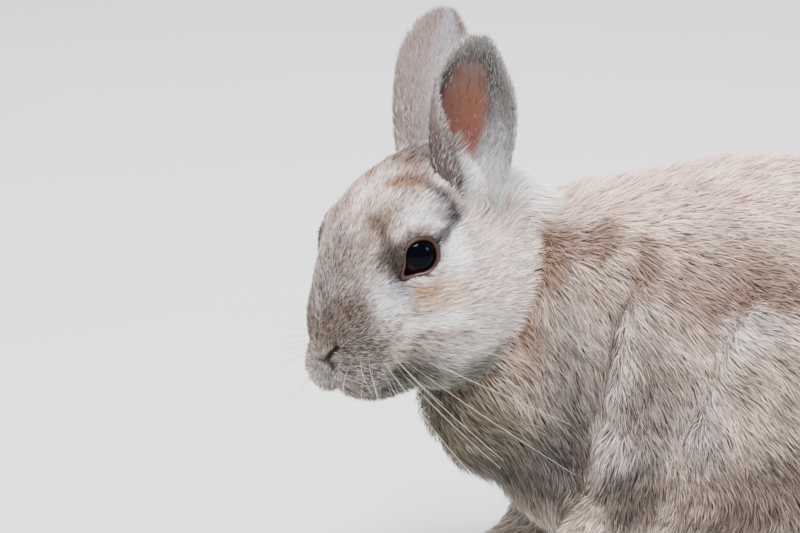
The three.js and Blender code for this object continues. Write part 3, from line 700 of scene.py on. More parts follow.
def toward(base, tone, share):  # linear colours moved by a share of the way to a screen colour
    return base + (paint(*tone) - base) * np.clip(share, 0, 1)[..., None]


def shareOfHead(points, reach):  # 0 on the body and 1 on the head, by which of the two forms is nearer
    body, head = formsField(bodyForms, points)[0], formsField(headForms, toHead(points))[0]
    return smooth(-reach, reach, body - head)


def coatColour(points):  # linear colour of the coat: the ground, then each mark and stroke by its nearness
    head = toHead(points)
    onHead = shareOfHead(points, 1.5)
    results = []
    for ground, marks, strokes, place in (("body", bodyMarks, bodyStrokes, points),
                                          ("head", headMarks, headStrokes, head)):
        side = folded(place) + 1.2 * np.stack([waves(points, 14, 3 + a) for a in range(3)], -1)
        colour = np.tile(paint(*groundColour[ground]), (len(points), 1))
        for centre, radii, tone, strength in marks.values():
            far = np.sqrt((((side - centre) / radii) ** 2).sum(1))
            colour = toward(colour, tone, strength * smooth(1.55, 0.45, far))
        for name, (path, half, tone, strength) in strokes.items():
            share = strength * smooth(1.7 * half, 0.4 * half, lineWay(side, path)[0])
            faint = (place[:, 1] < 0) & (name in oneSided)
            colour = toward(colour, tone, np.where(faint, 0.25 * share, share))
        results.append(colour)
    colour = results[0] + (results[1] - results[0]) * onHead[:, None]
    ahead, aside, angle = eyePlane(folded(head))
    lash = smooth(lashShade["reach"], 0.3, aside - lidOutline("outer", angle)) * (ahead > -2)
    lash = lash * smooth(0.1, 0.8, np.cos(angle - np.radians(lashShade["middle"])))
    colour = toward(colour, lashShade["colour"], lash * lashShade["strength"])
    warm = (waves(points, 21, 11) + waves(points, 8, 12)) / 2
    muted = np.where(onHead > 0.5, 0.05, 0.085)
    colour = colour * (1 + 0.05 * waves(points, 10, 13) + 0.04 * waves(points, 5, 14))[:, None]
    return colour * (1 + (muted * warm)[:, None] * (0.5, 1.0, 1.35))


# Skin piece

skinShop = Shop("skin", Roughness=0.72, Specular_IOR_Level=0.25)
skinShop.grained((900, 4, 0.7), 0.6, (0.05, 0.04, 0.035), (0.5, 0.0006), "MULTIPLY")


def nearestGroove(left):  # distance to the nearest groove of the nose and mouth
    return np.min([grooveGap(left, name) for name in grooves], axis=0)


skinHead = folded(toHead(skinPoints))
# painted shade: the grooves of the nose and mouth are coloured near black on the skin
skinColour = toward(coatColour(skinPoints) * 0.84, (20, 12, 11), smooth(1.3, 0.6, nearestGroove(skinHead)))
ahead, aside, angle = eyePlane(skinHead)
socket = smooth(-0.8, -1.2, aside - lidOutline("outer", angle)) * (ahead > -9)
skinColour = toward(skinColour, (70, 48, 44), 0.7 * socket)
flesh = [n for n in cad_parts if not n.startswith(("ear", "eye"))]
skin = makePiece("skin", skinPoints, skinFaces, skinShop.material, skinColour, replaces=flesh,
                 slot="coat_body")
print("skin made")


# Eyes, lids and tear corners

def gridFaces(rows, columns, closed=True):  # quads of a grid of points, row by row, closed round each row
    i, j = np.meshgrid(np.arange(rows - 1), np.arange(columns if closed else columns - 1), indexing="ij")
    nextJ = (j + 1) % columns
    return np.stack([i * columns + j, i * columns + nextJ, (i + 1) * columns + nextJ, (i + 1) * columns + j],
                    -1).reshape(-1, 4)


eyeLook = {"cornea": 0.55, "cornea half angle": 42, "rows": 48, "around": 72, "pupil": (2, 2, 3),
           "iris": (36, 17, 14), "iris streak": (14, 9, 8), "rim": (24, 14, 13),
           "pupil edge": (30.0, 36.0), "iris edge": (47.0, 52.0)}  # degrees from the gaze
eyeShop = Shop("eyeBall", Roughness=0.05, Specular_IOR_Level=0.07, Specular_Tint=(0.5, 0.7, 1.0, 1))
irisPlace = eyeShop.attribute("irisAngle", 2)


def eyeStep(edge):  # an S-shaped step over an edge's degrees from the gaze
    return eyeShop.node("ShaderNodeMapRange", {"interpolation_type": "SMOOTHSTEP"}, {
        "Value": irisPlace, "From Min": eyeLook[edge][0], "From Max": eyeLook[edge][1]})


irisStreaks = eyeShop.noise(520, 5, 0.7)
iris = eyeShop.mix(irisStreaks, paint(*eyeLook["iris streak"]), paint(*eyeLook["iris"]))
seen = eyeShop.mix(eyeStep("pupil edge"), paint(*eyeLook["pupil"]), iris)
eyeShop.feed(Base_Color=eyeShop.mix(eyeStep("iris edge"), seen, paint(*eyeLook["rim"])))


def eyeBall(side):
    # a ball by angle from the gaze and angle round it; the front bulges by a soft bell of the first angle
    gaze, along, across = eyeAxes(side)
    polar = np.pi * np.linspace(0, 1, eyeLook["rows"]) ** 1.15
    turn = 2 * np.pi * np.arange(eyeLook["around"]) / eyeLook["around"]
    polar, turn = (grid[..., None] for grid in np.meshgrid(polar, turn, indexing="ij"))
    bulge = eyeLook["cornea"] * np.exp(-(np.degrees(polar) / eyeLook["cornea half angle"]) ** 4)
    flat = np.sin(polar) * (np.cos(turn) * along + np.sin(turn) * across)
    radius = eye["radius"] + bulge - 0.25
    points = np.multiply(eye["at"], (1, side, 1)) + radius * (np.cos(polar) * gaze + flat)
    faces = gridFaces(eyeLook["rows"], eyeLook["around"])
    return fromHead(points.reshape(-1, 3)), faces[:, ::-side], np.degrees(polar).ravel()  # faces out on both


lidLook = {"around": 128, "across": 14, "crest": 0.38, "outer": (40, 30, 26), "corner": (70, 34, 40),
           "wet": (22, 11, 11), "skirt": ((1.5, -0.4), (0.85, -0.06)), "skirt shade": (0.8, 0.4)}
lidTones = {"below": (45, (102, 82, 86)), "behind": (130, (62, 38, 38)),  # each with the angle it faces
            "above": (225, (30, 21, 18)), "before": (300, (58, 44, 37))}
lidShop = Shop("lidRim", Roughness=0.55, Specular_IOR_Level=0.15, Coat_Weight=0.04, Coat_Roughness=0.3)
lidShop.grained((1600, 3), 0.35, (0.08, 0.04, 0.04), (0.4, 0.0003))


def archThrough(start, middle, end, t):  # a quadratic curve from start to end, through the middle at t = 1/2
    return start * (1 - t) ** 2 + 2 * t * (1 - t) * (2 * middle - start / 2 - end / 2) + end * t ** 2


def onLids(angle, aside):  # the place on the raised lids at an angle and distance out from the gaze
    gaze, along, across = eyeAxes(1)
    flat = (np.array(eye["at"]) + (aside * np.cos(angle))[..., None] * along
            + (aside * np.sin(angle))[..., None] * across)
    height = np.full(angle.shape, 9.0)
    for _ in range(14):
        place = (flat + height[..., None] * gaze).reshape(-1, 3)
        height = height - 0.85 * plainSkin(fromHead(place))[0].reshape(angle.shape)
    return flat + height[..., None] * gaze


def lidRim(side):
    # a strip round the eye: t = 0 lies on the skin, a half sine lifts its crest, t = 1 tucks in at the ball
    gaze, along, across = eyeAxes(1)
    angle, t = np.meshgrid(2 * np.pi * np.arange(lidLook["around"]) / lidLook["around"],
                           np.linspace(0, 1, lidLook["across"]), indexing="ij")
    turn = angle[:, :1]
    edge, inside = lidOutline("outer", turn), lidOutline("inner", turn)
    aside = inside - 0.1
    depth = np.sqrt(np.maximum((eye["radius"] + 0.1) ** 2 - aside ** 2, 4))
    end = (np.array(eye["at"]) + (aside * np.cos(turn))[..., None] * along
           + (aside * np.sin(turn))[..., None] * across + depth[..., None] * gaze)
    top = onLids(turn, inside + 0.35) + gaze * 0.1
    points = archThrough(onLids(turn, edge + 0.25), top, end, t[..., None])
    points = points + gaze * (0.6 * lidLook["crest"] * np.sin(np.pi * np.clip(t * 1.6, 0, 1)))[..., None]
    tone = np.tile(paint(*lidLook["outer"]), (*angle.shape, 1))
    for middle, colour in lidTones.values():
        facing = smooth(0.1, 0.85, np.cos(angle - np.radians(middle)))
        tone = toward(tone, colour, facing * smooth(0.12, 0.4, t))
    corner = smooth(0.55, 0.12, np.abs((angle + np.pi) % (2 * np.pi) - np.pi))
    tone = toward(tone, lidLook["corner"], corner * smooth(0.15, 0.4, t))
    # painted shade where the rim tucks in at the ball
    tone = toward(tone, lidLook["wet"], smooth(0.55, 0.75, t) * (1 - 0.6 * corner))
    skirt = [onLids(turn, edge + out) + gaze * rise for out, rise in lidLook["skirt"]]
    under = [coatColour(fromHead(ring[:, 0] * (1, side, 1)))[:, None] * shade
             for ring, shade in zip(skirt, lidLook["skirt shade"])]
    points, tone = np.concatenate(skirt + [points], 1), np.concatenate(under + [tone], 1)
    order = points.transpose(1, 0, 2).reshape(-1, 3) * (1, side, 1)
    faces = gridFaces(lidLook["across"] + len(skirt), lidLook["around"])
    return fromHead(order), faces[:, ::-side], tone.transpose(1, 0, 2).reshape(-1, 3)


for side, name in ((1, "left"), (-1, "right")):
    points, faces, polar = eyeBall(side)
    makePiece("eyeBall_" + name, points, faces, eyeShop.material, extra={"irisAngle": polar},
              replaces=("eye_" + name,), slot="eye")
    points, faces, tone = lidRim(side)
    makePiece("lidRim_" + name, points, faces, lidShop.material, tone, slot="coat_head")
print("eyes made")


# Claws: tapered, down-curved rods at the toes' ends

clawLook = {"root": 1.45, "tip": 0.35, "taper": 1, "steps": 10, "around": 12,
            "colour": (112, 92, 80), "end": (214, 196, 176)}
clawShop = Shop("claw", Roughness=0.35, Coat_Weight=0.3, Coat_Roughness=0.2)
clawShop.grained((700, 4, 0.6), 0.5, (0.22, 0.16, 0.12), (0.3, 0.0003))


def rods(paths, radii, around):
    # paths (rods, steps, 3), radii (steps): a ring of points round each step, square to the path
    ahead = unit(np.gradient(paths, axis=1))
    guide = np.where(np.abs(ahead[..., 2:]) > 0.9, (1.0, 0, 0), (0, 0, 1.0))
    side = unit(np.cross(ahead, guide))
    over = np.cross(side, ahead)
    angle = 2 * np.pi * np.arange(around)[:, None] / around
    ring = side[:, :, None] * np.cos(angle) + over[:, :, None] * np.sin(angle)
    points = paths[:, :, None] + ring * radii[:, None, None]
    count, steps = paths.shape[:2]
    first = (np.arange(count) * steps * around)[:, None]
    quads = (gridFaces(steps, around)[:, ::-1] + first[..., None]).reshape(-1, 4)
    last = first + (steps - 1) * around
    caps = np.concatenate([first + np.arange(around), last + np.arange(around)[::-1]])
    return points.reshape(-1, 3), quads, caps


def makeRods(name, paths, look, shop, fade, slot):
    # tapered rods along paths, their colour moved from the root's to the end's by the fade of the way along
    along = np.linspace(0, 1, look["steps"])
    radii = look["root"] + (look["tip"] - look["root"]) * along ** look["taper"]
    points, quads, caps = rods(paths, radii, look["around"])
    tone = toward(np.tile(paint(*look["colour"]), (len(along), 1)), look["end"], fade(along))
    makePiece(name, points, [quads, caps], shop.material,
              np.tile(np.repeat(tone, look["around"], 0), (len(paths), 1)), slot=slot)
    print(name, "made")


def clawPaths():  # an arch from each toe's end, out and down
    t = np.linspace(0, 1, clawLook["steps"])[:, None]
    for kind in ("fore", "hind"):
        radius = toes[kind]["radius"]
        for _, (_, tip, _, _, _) in toeLimbs(kind):
            for side in (1, -1):
                x, y, z = tip * np.array((1, side, 1))
                bends = ((x - radius * 0.3, y, z + 1.5), (x - radius - 1.5, y, z + 0.6),
                         (x - radius - 4.5, y, 1.2))
                yield archThrough(*np.array(bends), t)


makeRods("claws", np.array(list(clawPaths())), clawLook, clawShop, lambda along: along ** 1.4, "coat_paw")


# Ears: an inner and an outer face curled round each ear's length

earLook = {"width": 13.6, "widest": 0.56, "root breadth": 0.6, "root curl": 172, "tip curl": 34,
           "thick": 2.4, "bend": 3, "flatness": 0.6, "rear curl": 0.58, "reach": 0.965,
           "inner coat": 0.35, "outer coat": 0.75, "rows": 96, "columns": 65}
ears = {  # front is the sign of s on the rim that faces the nose; dark is how dark that side's back is
    "left": {"root": (-52, -14, 142), "tip": (-48.5, -20, 203.5), "open": (-0.3, -0.95, 0),
             "front": -1, "dark": 0.95},
    "right": {"root": (-58, 10, 146), "tip": (-50, 19, 207), "open": (0.05, 0.98, 0),
              "front": 1, "dark": 0.35},
}


def earAxes(ear):  # root, the way up, the way the cup opens, the way across and the length
    root = np.array(ear["root"], float)
    up = np.array(ear["tip"], float) - root
    length = np.linalg.norm(up)
    up = up / length
    facing = np.array(ear["open"], float)
    facing = unit(facing - facing @ up * up)
    return root, up, facing, np.cross(up, facing), length


def earPoint(ear, s, t, layer):
    # s runs from rim to rim and t from root to tip; layer is 0 on the inside and 1 on the back
    root, up, facing, side, length = earAxes(ear)
    past = np.clip((t - earLook["widest"]) / (1 - earLook["widest"]), 0, 1)
    narrow = earLook["root breadth"]
    rising = narrow + (1 - narrow) * np.sin(np.pi / 2 * t / earLook["widest"])
    breadth = np.where(t < earLook["widest"], rising, np.sqrt(np.maximum(1 - past ** 2.3, 0)))
    half = np.maximum(breadth * earLook["width"], 1.2)
    curl = np.radians(earLook["tip curl"] + (earLook["root curl"] - earLook["tip curl"]) * (1 - t ** 2.2))
    radius = half / np.sin(np.minimum(curl, np.pi / 2))
    thick = earLook["thick"] * (1 - 0.35 * t)
    rim = np.sqrt(np.maximum(1 - np.abs(s) ** 6, 0))
    inner, outer = earLook["inner coat"], 1 - earLook["outer coat"] / thick
    depth = (inner + outer) / 2 + (layer - 0.5) * (outer - inner) * rim
    r = radius + depth * thick
    angle = s * curl * 0.985 * np.where(s * ear["front"] > 0, 1, earLook["rear curl"])
    flat = 1 + (earLook["flatness"] - 1) * smooth(34, 100, np.degrees(curl))
    drop = flat * (radius - r * np.cos(angle)) - earLook["bend"] * np.sin(np.pi * t)
    return (root + (t * length * earLook["reach"])[..., None] * up + drop[..., None] * facing
            + (r * np.sin(angle))[..., None] * side)


def earBands(ear, s, t):  # shares of the hairy bands inside the front rim, the rear rim and the tip
    ahead = s * ear["front"]
    frontEdge = 0.44 - 0.16 * smooth(0.5, 0.2, t)
    rearEdge = -0.12 + 0.2 * smooth(0.5, 0.15, t)
    front = smooth(frontEdge - 0.06, frontEdge + 0.24, ahead)
    return front, smooth(rearEdge + 0.06, rearEdge - 0.34, ahead), smooth(0.8, 0.9, t), ahead


def earColour(ear, s, t, layer):  # linear colour of an ear at s, t on a face: each band laid over the last
    front, rear, top, ahead = earBands(ear, s, t)
    low = smooth(0.6, 0.1, t + 0.16 * np.abs(ahead) - 0.06)
    edge = np.abs(s)
    frontLow = smooth(0.0, 0.3, ahead) * smooth(0.7, 0.45, t)
    rimLight = 1 - 0.75 * frontLow
    back = [
        ((196, 192, 201), 0.8 * smooth(0.5, 0.1, np.abs(ahead + 0.15)) * smooth(0.1, 0.4, t)),
        ((74, 66, 62), ear["dark"] * smooth(-0.05, 0.3, ahead) * smooth(0.75, 0.35, t)),
        ((236, 233, 233), smooth(0.93, 0.99, edge) * smooth(0.1, 0.4, t) * rimLight),
        ((234, 230, 230), smooth(0.3, 0.06, t) * np.where(ahead > 0.0, 1 - ear["dark"], 0.8)),
    ]
    within = [
        ((108, 60, 37), 0.8 * smooth(1.2, 0.2, np.hypot((ahead + 0.02) / 0.42, (t - 0.6) / 0.2))),
        ((84, 70, 64), 0.7 * smooth(0.62, 0.8, t)),
        ((132, 71, 68), low),
        ((54, 47, 46), front * (1 - 0.9 * low)),
        ((88, 84, 84), np.maximum(rear, top)),
        ((150, 147, 149), 0.75 * rear * smooth(0.8, 0.35, t)),
        ((240, 237, 240), rear * smooth(0.62, 0.24, t)),
        ((118, 108, 105), 0.8 * front * low),
        ((158, 154, 151), 0.7 * np.maximum(smooth(0.6, 0.95, edge), smooth(0.88, 0.98, t)) * (1 - low)),
        ((214, 210, 210), smooth(0.95, 0.99, edge) * smooth(0.15, 0.4, t) * rimLight),
    ]
    faces = []
    for ground, bands in ((158, 139, 135), back), ((98, 58, 46), within):
        tone = np.tile(paint(*ground), (*s.shape, 1))
        for colour, share in bands:
            tone = toward(tone, colour, share)
        faces.append(tone)
    return np.where((layer > 0.5)[..., None], *faces)


earShop = Shop("earSkin", Roughness=0.6, Specular_IOR_Level=0.3)
earShop.grained((700, 4, 0.65), 0.4, (0.25, 0.12, 0.09), (0.4, 0.0004))


def earShell(ear):
    # rings of points up the ear: out along the back from rim to rim, then home along the inside
    out = np.sin(np.linspace(-1, 1, earLook["columns"]) * np.pi / 2)
    around = np.concatenate([out, out[-2:0:-1]])
    onBack = np.arange(len(around)) < len(out)
    t, s = np.meshgrid(np.sin(np.linspace(0, 1, earLook["rows"]) * np.pi / 2), around, indexing="ij")
    layer = np.tile(onBack * 1.0, (earLook["rows"], 1))
    points, tone = earPoint(ear, s, t, layer), earColour(ear, s, t, layer) * 0.8
    faces = gridFaces(earLook["rows"], len(around))
    cap = (earLook["rows"] - 1) * len(around) + np.arange(len(around))[None]
    return points.reshape(-1, 3), [faces, cap], tone.reshape(-1, 3)


for name, ear in ears.items():
    points, faces, tone = earShell(ear)
    makePiece("earShell_" + name, points, faces, earShop.material, tone, replaces=("ear_" + name,),
              slot="ear")
print("ears made")


# Lie of the coat: places and the way the hair runs there, on the side of +y, mirrored to the other

headLie = [  # the head's frame
    ((46, 2, 8), (-0.35, 0.15, 0.9)), ((37, 0, 18), (-0.5, 0, 0.85)), ((24, 0, 28), (-0.75, 0, 0.6)),
    ((8, 0, 37), (-1, 0, 0)), ((-14, 0, 38), (-1, 0, -0.25)), ((30, 10, 20), (-0.75, 0.45, 0.4)),
    ((38, 10, 10), (-0.6, 0.6, 0.35)), ((20, 18, 18), (-0.75, 0.3, 0.5)),
    ((2, 19, 31), (-0.95, 0.15, 0.15)), ((41, 13, 0), (-0.7, 0.6, -0.35)),
    ((48, 3, -9), (-0.1, 0.35, -0.9)), ((40, 12, -14), (-0.6, 0.4, -0.65)),
    ((30, 9, -19), (-0.85, 0.15, -0.4)), ((26, 17, 3), (-0.9, 0.4, -0.15)),
    ((12, 24, 0), (-0.95, 0.25, -0.12)), ((-8, 30, 2), (-0.97, 0.1, -0.2)),
    ((4, 26, -18), (-0.88, 0.2, -0.42)), ((-24, 33, -10), (-0.9, 0, -0.42)), ((5, 5, -33), (-1, 0, 0)),
    ((-8, 25, 18), (-1, 0.1, 0.02)), ((-20, 14, 34), (-0.9, 0, 0.2)), ((-10, 30, -26), (-0.8, 0.1, -0.6)),
]
bodyLie = [  # the maker's axes
    ((-30, 0, 146), (1, 0, -0.1)), ((0, 0, 143), (1, 0, 0)), ((60, 0, 152), (1, 0, 0)),
    ((118, 0, 122), (0.8, 0, -0.5)), ((146, 0, 86), (0.3, 0, -1)), ((160, 0, 60), (0.15, 0, 0.95)),
    ((-22, 24, 126), (0.75, 0, -0.66)), ((-28, 30, 98), (0.5, 0, -0.86)), ((4, 36, 114), (0.5, 0, -0.86)),
    ((0, 44, 78), (0.28, 0, -0.96)), ((-10, 36, 34), (-0.25, 0, -0.97)), ((34, 34, 122), (0.93, 0, -0.35)),
    ((60, 44, 104), (0.8, 0, -0.6)), ((52, 52, 80), (0.7, 0, -0.7)), ((60, 56, 45), (0.75, 0, -0.62)),
    ((24, 48, 66), (0.4, 0, -0.9)), ((14, 48, 36), (-0.15, 0, -0.98)), ((112, 42, 66), (0.65, 0, -0.75)),
    ((-62, 2, 74), (0.35, 0.5, -0.75)), ((-50, 18, 66), (0.75, 0.45, -0.45)),
    ((-34, 20, 44), (0.3, 0.1, -0.9)), ((-46, 8, 96), (0.5, 0.5, -0.6)), ((10, 0, 20), (1, 0, 0)),
    ((36, 43, 20), (-1, 0, -0.15)), ((14, 44, 12), (-0.95, 0, -0.25)), ((-28, 25, 16), (-1, 0, -0.25)),
    ((-40, 26, 8), (-0.9, 0, -0.4)), ((88, 42, 20), (0.1, 0, -1)), ((70, 46, 12), (-0.9, 0, -0.3)),
]


def lieFrom(guides, places, reach):  # a mean of the guides' ways, each weighted by a bell of its distance
    spots, ways = np.array(guides, float).transpose(1, 0, 2)
    ways = unit(ways)
    gap = ((places[:, None] - spots[None]) ** 2).sum(-1)
    weight = np.exp(-gap / (2 * reach ** 2)) + 0.02 * np.exp(-gap / (8 * reach ** 2)) + 1e-9
    return unit(weight @ ways)


def byEars(points):  # how near a place is to the foot of an ear, and the way up that ear
    near, up = np.zeros(len(points)), np.zeros_like(points)
    for ear in ears.values():
        root, axis = earAxes(ear)[:2]
        gap = np.linalg.norm((points - root - 3 * axis) * (0.75, 1, 0.8), axis=1)
        close = smooth(17, 9, gap)
        up = np.where((close > near)[:, None], axis, up)
        near = np.maximum(near, close)
    return near, up


def sideOf(points):  # -1 where folding turns a place over, 1 elsewhere
    return np.where(points[:, 1] < 0, -1, 1)


def lieOf(points):
    # the guides' ways, turned outwards round the eyes and grooves, up at the ears, and swirled a little
    head = toHead(points)
    left, sign = folded(head), sideOf(head)
    onHead = shareOfHead(points, 2)[:, None]
    bodyWay = lieFrom(bodyLie, folded(points), 15.0)
    bodyWay[:, 1] *= sideOf(points)
    headWay = lieFrom(headLie, left, 9.0)
    headWay[:, 1] *= sign
    ahead, aside, angle = eyePlane(left)
    _, along, across = eyeAxes(1)
    out = np.cos(angle)[:, None] * along + np.sin(angle)[:, None] * across
    out[:, 1] *= sign
    gap = aside - lidOutline("outer", angle)
    byEye = np.where(ahead > -2, np.exp(-np.maximum(gap, 0) / 2.0), 0)[:, None]
    headWay = unit(headWay + 1.15 * out * byEye)
    front = left[:, 0] > 30
    for path in groovePaths.values():
        groove, off = lineWay(left[front], path)
        off[:, 1] *= sign[front]
        headWay[front] += 1.6 * off * np.exp(-groove / 2.4)[:, None]
    headWay = unit(headWay) @ headAxes.T
    swirl = np.stack([0.2 * waves(points, 19, 21 + a) + 0.14 * waves(points, 8, 31 + a)
                      for a in range(3)], -1)
    toEar, earUp = byEars(points)
    swirl = (swirl + 2.4 * toEar[:, None] * earUp) * (1 - 0.45 * onHead)
    way = unit(bodyWay * (1 - onHead) + headWay * onHead + swirl)
    return way, onHead[:, 0], np.where(ahead > -2, gap, 99)


# Coat: thin pointed blades of three lengths, rooted on the skin and swept along its lie

coatLook = {
    "blades": 420000, "seed": 7, "length": 1.75, "least length": 2.5, "head width": 0.21, "body width": 0.27,
    "twist": 0.475, "lock size head": 2.6, "lock size body": 4.6, "fine lock": 1.1, "lock pull": 0.4,
    "guard share": 0.06, "guard lift": 1.2, "guard length": 1.3, "stops": (0.0, 0.5, 1.0),
    "widths": (0.8, 1.0), "patch": 0.003, "blades a piece": 66000,
}
source = np.random.default_rng(coatLook["seed"])


def rootsOn(points, faces, density, count):  # places spread over the faces, as dense as each face's share
    a, b, c = (points[faces[:, i]] for i in range(3))
    area = 0.5 * np.linalg.norm(np.cross(b - a, c - a), axis=1)
    share = np.cumsum(area * density)
    pick = np.searchsorted(share, (np.arange(count) + source.random(count)) / count * share[-1])
    pick = np.minimum(pick, len(faces) - 1)
    u, v = source.random(count), source.random(count)
    over = u + v > 1
    u[over], v[over] = 1 - u[over], 1 - v[over]
    return a[pick] + u[:, None] * (b - a)[pick] + v[:, None] * (c - a)[pick]


def lockCentre(points, size, seed):
    # space is cut into cubes; each has one centre and tone, taken from a table by a number from its place
    cell = np.floor(points / size).astype(np.int64)
    number = (cell[:, 0] * 73856093) ^ (cell[:, 1] * 19349663) ^ (cell[:, 2] * 83492791)
    table = np.random.default_rng(seed).random((4096, 4))
    spot = table[(number ^ (seed * 2654435761)) % len(table)]
    return (cell + 0.5 + 0.7 * (spot[:, :3] - 0.5)) * size, spot[:, 3]


def coatCare(points):  # depth of coat, lie, share of head, blade width and length, and gap to the lids
    _, depth, left, _ = plainSkin(points)
    way, onHead, eyeGap = lieOf(points)
    width = coatLook["body width"] + (coatLook["head width"] - coatLook["body width"]) * onHead
    width = width * (1 - 0.36 * smooth(26, 10, points[:, 2]) * (1 - onHead))  # finer on the feet
    width = width * (1 - 0.16 * onHead * smooth(10, 34, left[:, 0]))  # and on the face
    length = np.maximum(depth * coatLook["length"], coatLook["least length"])
    length = length * (1 - 0.45 * np.exp(-np.maximum(eyeGap, 0) / 3.0)) * (1 + 0.5 * byEars(points)[0])
    return depth, way, onHead, width, length, eyeGap, left


def thinnedFaces():  # how many blades each face of the skin gets for its area
    middle = skinPoints[skinFaces].mean(1)
    _, _, onHead, width, length, eyeGap, left = coatCare(middle)
    density = (1 + 0.35 * onHead) / (width * length) * (1 + 0.8 * np.exp(-np.maximum(eyeGap, 0) / 0.8))
    under = smooth(34, 20, middle[:, 2]) * (1 - onHead) * (np.abs(middle[:, 1]) < 30)
    density = density * (1 - 0.55 * under)
    bare = (eyeGap < -0.2) | (nearestGroove(left) < 0.62) | (middle[:, 2] < 0.6)
    ball = np.linalg.norm(left - eye["at"], axis=1) < eye["radius"] + 0.4
    return np.where(bare | ball, 0, density)


roots = rootsOn(skinPoints, skinFaces, thinnedFaces(), coatLook["blades"])
depth, way, onHead, width, length, _, left = coatCare(roots)
count = len(roots)
mostHead = onHead > 0.5
muzzle = onHead * smooth(14, 30, left[:, 0])
length = length * source.uniform(0.7, 1.25, count)
lift = source.uniform(0.35, 1.0, count) ** 0.8
guard = source.random(count) < coatLook["guard share"]
lift[guard] *= coatLook["guard lift"]
length[guard] *= coatLook["guard length"]
fineTone = lockCentre(roots, coatLook["fine lock"], 8)[1] - 0.5
headLock, headTone = lockCentre(roots, coatLook["lock size head"], 5)
bodyLock, bodyTone = lockCentre(roots, coatLook["lock size body"], 6)
lockSize = np.where(mostHead, coatLook["lock size head"], coatLook["lock size body"])[:, None]
lock = np.where(mostHead[:, None], headLock, bodyLock)
lockTone = np.where(mostHead, headTone, bodyTone)
lift = lift * (1 + 0.9 * byEars(roots)[0]) * (0.78 + 0.4 * lockTone)
lift = lift * (1 + 0.8 * muzzle * smooth(-3, -14, left[:, 2]))
print("roots", count, "of the coat")


def onSurface(vectors, out):  # vectors less their share along the way out
    return vectors - (vectors * out).sum(1, keepdims=True) * out


def outAt(places):  # the way out of the skin, which is the slope of its field
    return unit(readGrid(fieldSlope, places))


def sweptBlades():
    # each blade steps along the lie, turned on to the skin, at a height that rises by a power of its run
    ahead = way + source.normal(0, 0.16, (count, 3))
    place = roots
    rows, outs, sides = [roots - 0.15 * outAt(roots)], [], []
    for k in (1, 2):
        out = outAt(place)
        flat = unit(onSurface(ahead, out))
        if k == 1:
            sides.append(np.cross(flat, out))
            outs.append(out)
        run = coatLook["stops"][k]
        step = length * (run - coatLook["stops"][k - 1])
        place = place + flat * step[:, None]
        drawn = onSurface(lock + way * (length * 0.8)[:, None] - place, out)
        reach = np.linalg.norm(drawn, axis=1, keepdims=True)
        drawn = drawn * np.minimum(1, lockSize * 0.5 / np.maximum(reach, 1e-6))
        place = place + drawn * coatLook["lock pull"] * run * 0.6
        height = depth * lift * run ** 0.62 * 0.98 + 0.1
        out = outAt(place)
        here = readGrid(fieldValue[..., None], place)[:, 0]
        place = place + out * np.clip(height - here, -3, 3)[:, None]
        place[:, 2] = np.maximum(place[:, 2], 0.25)
        rows.append(place)
        sides.append(np.cross(flat, out))
        outs.append(out)
    return rows, outs, sides


def bladeMesh(rows, outs, sides, width, twist):
    # five points a blade: a left and a right at the root and the middle, and the tip
    points = []
    for k in range(2):
        across = unit(sides[k]) * np.cos(twist)[:, None] + outs[k] * np.sin(twist)[:, None]
        half = (width * coatLook["widths"][k] / 2)[:, None]
        points += [rows[k] - across * half, rows[k] + across * half]
    points.append(rows[2])
    return np.stack(points, 1)


bladeQuads, bladeTips = np.array([[0, 1, 3, 2]]), np.array([[2, 3, 4]])
bladeRun = np.array([0, 0, 0.5, 0.5, 1.0])  # way along the blade, and across its patch, of each point
bladeAside = np.array([0, 1, 0.08, 0.92, 0.5])


def bladeTones(base, tone, contrast):
    # darker at the root as painted shade between the hairs, paler at the tip or ticked dark there; each
    # blade has its own shade and warmth
    n = len(base)
    contrast = np.broadcast_to(contrast, n)
    shade = 1 + source.normal(0, 1, n) * 0.07 * contrast ** 0.7 + tone
    kind = source.random(n)
    dark, pale = kind < 0.07 * contrast, kind > 1 - 0.08 * contrast
    shade = shade * np.where(dark, 0.8 - 0.09 * contrast, np.where(pale, 1.08 + 0.07 * contrast, 1))
    own = base * shade[:, None] * (1 + source.normal(0, 0.035, n)[:, None] * (1.0, 0, -1.2))
    more = np.clip(contrast - 1, 0, 3)[:, None]
    bright = smooth(0.7, 0.95, base[:, 1])[:, None]
    # painted shade: each blade darkened at its root, more where contrast is high, less on pale fur
    root = 0.78 - 0.08 * more + 0.16 * bright
    run = np.where(bladeRun < 0.4, root, np.where(bladeRun > 0.9, 1.05 + 0.1 * more, 1.0))
    ticked = (source.random(n) < 0.12 * contrast)[:, None] & (bladeRun > 0.9)
    return np.clip(own[:, None] * (run * np.where(ticked, 0.55, 1))[..., None], 0.004, 0.98)


def bladePatches(chart):  # a square of the bake map at each root's place on the unwrapped skin
    corner = np.clip(chart, 0.001, 0.996)[:, None]
    return corner + coatLook["patch"] * np.stack([bladeAside - 0.5, bladeRun - 0.5], -1)


coatShop = Shop("coat", Roughness=0.62, Specular_IOR_Level=0.22, Sheen_Weight=0.12, Sheen_Roughness=0.5)
coatShop.feed(Base_Color=coatShop.attribute("tint"))


def layCoat(name, points, tones, chart, slot):  # one piece of coat, a quad and a triangle for each blade
    first = points.shape[1] * np.arange(len(points))[:, None, None]
    faces = [(bladeQuads + first).reshape(-1, 4), (bladeTips + first).reshape(-1, 3)]
    makePiece(name, points.reshape(-1, 3), faces, coatShop.material, tones.reshape(-1, 3),
              patches=bladePatches(chart).reshape(-1, 2), slot=slot)
    print("  ", name, len(points), "blades")


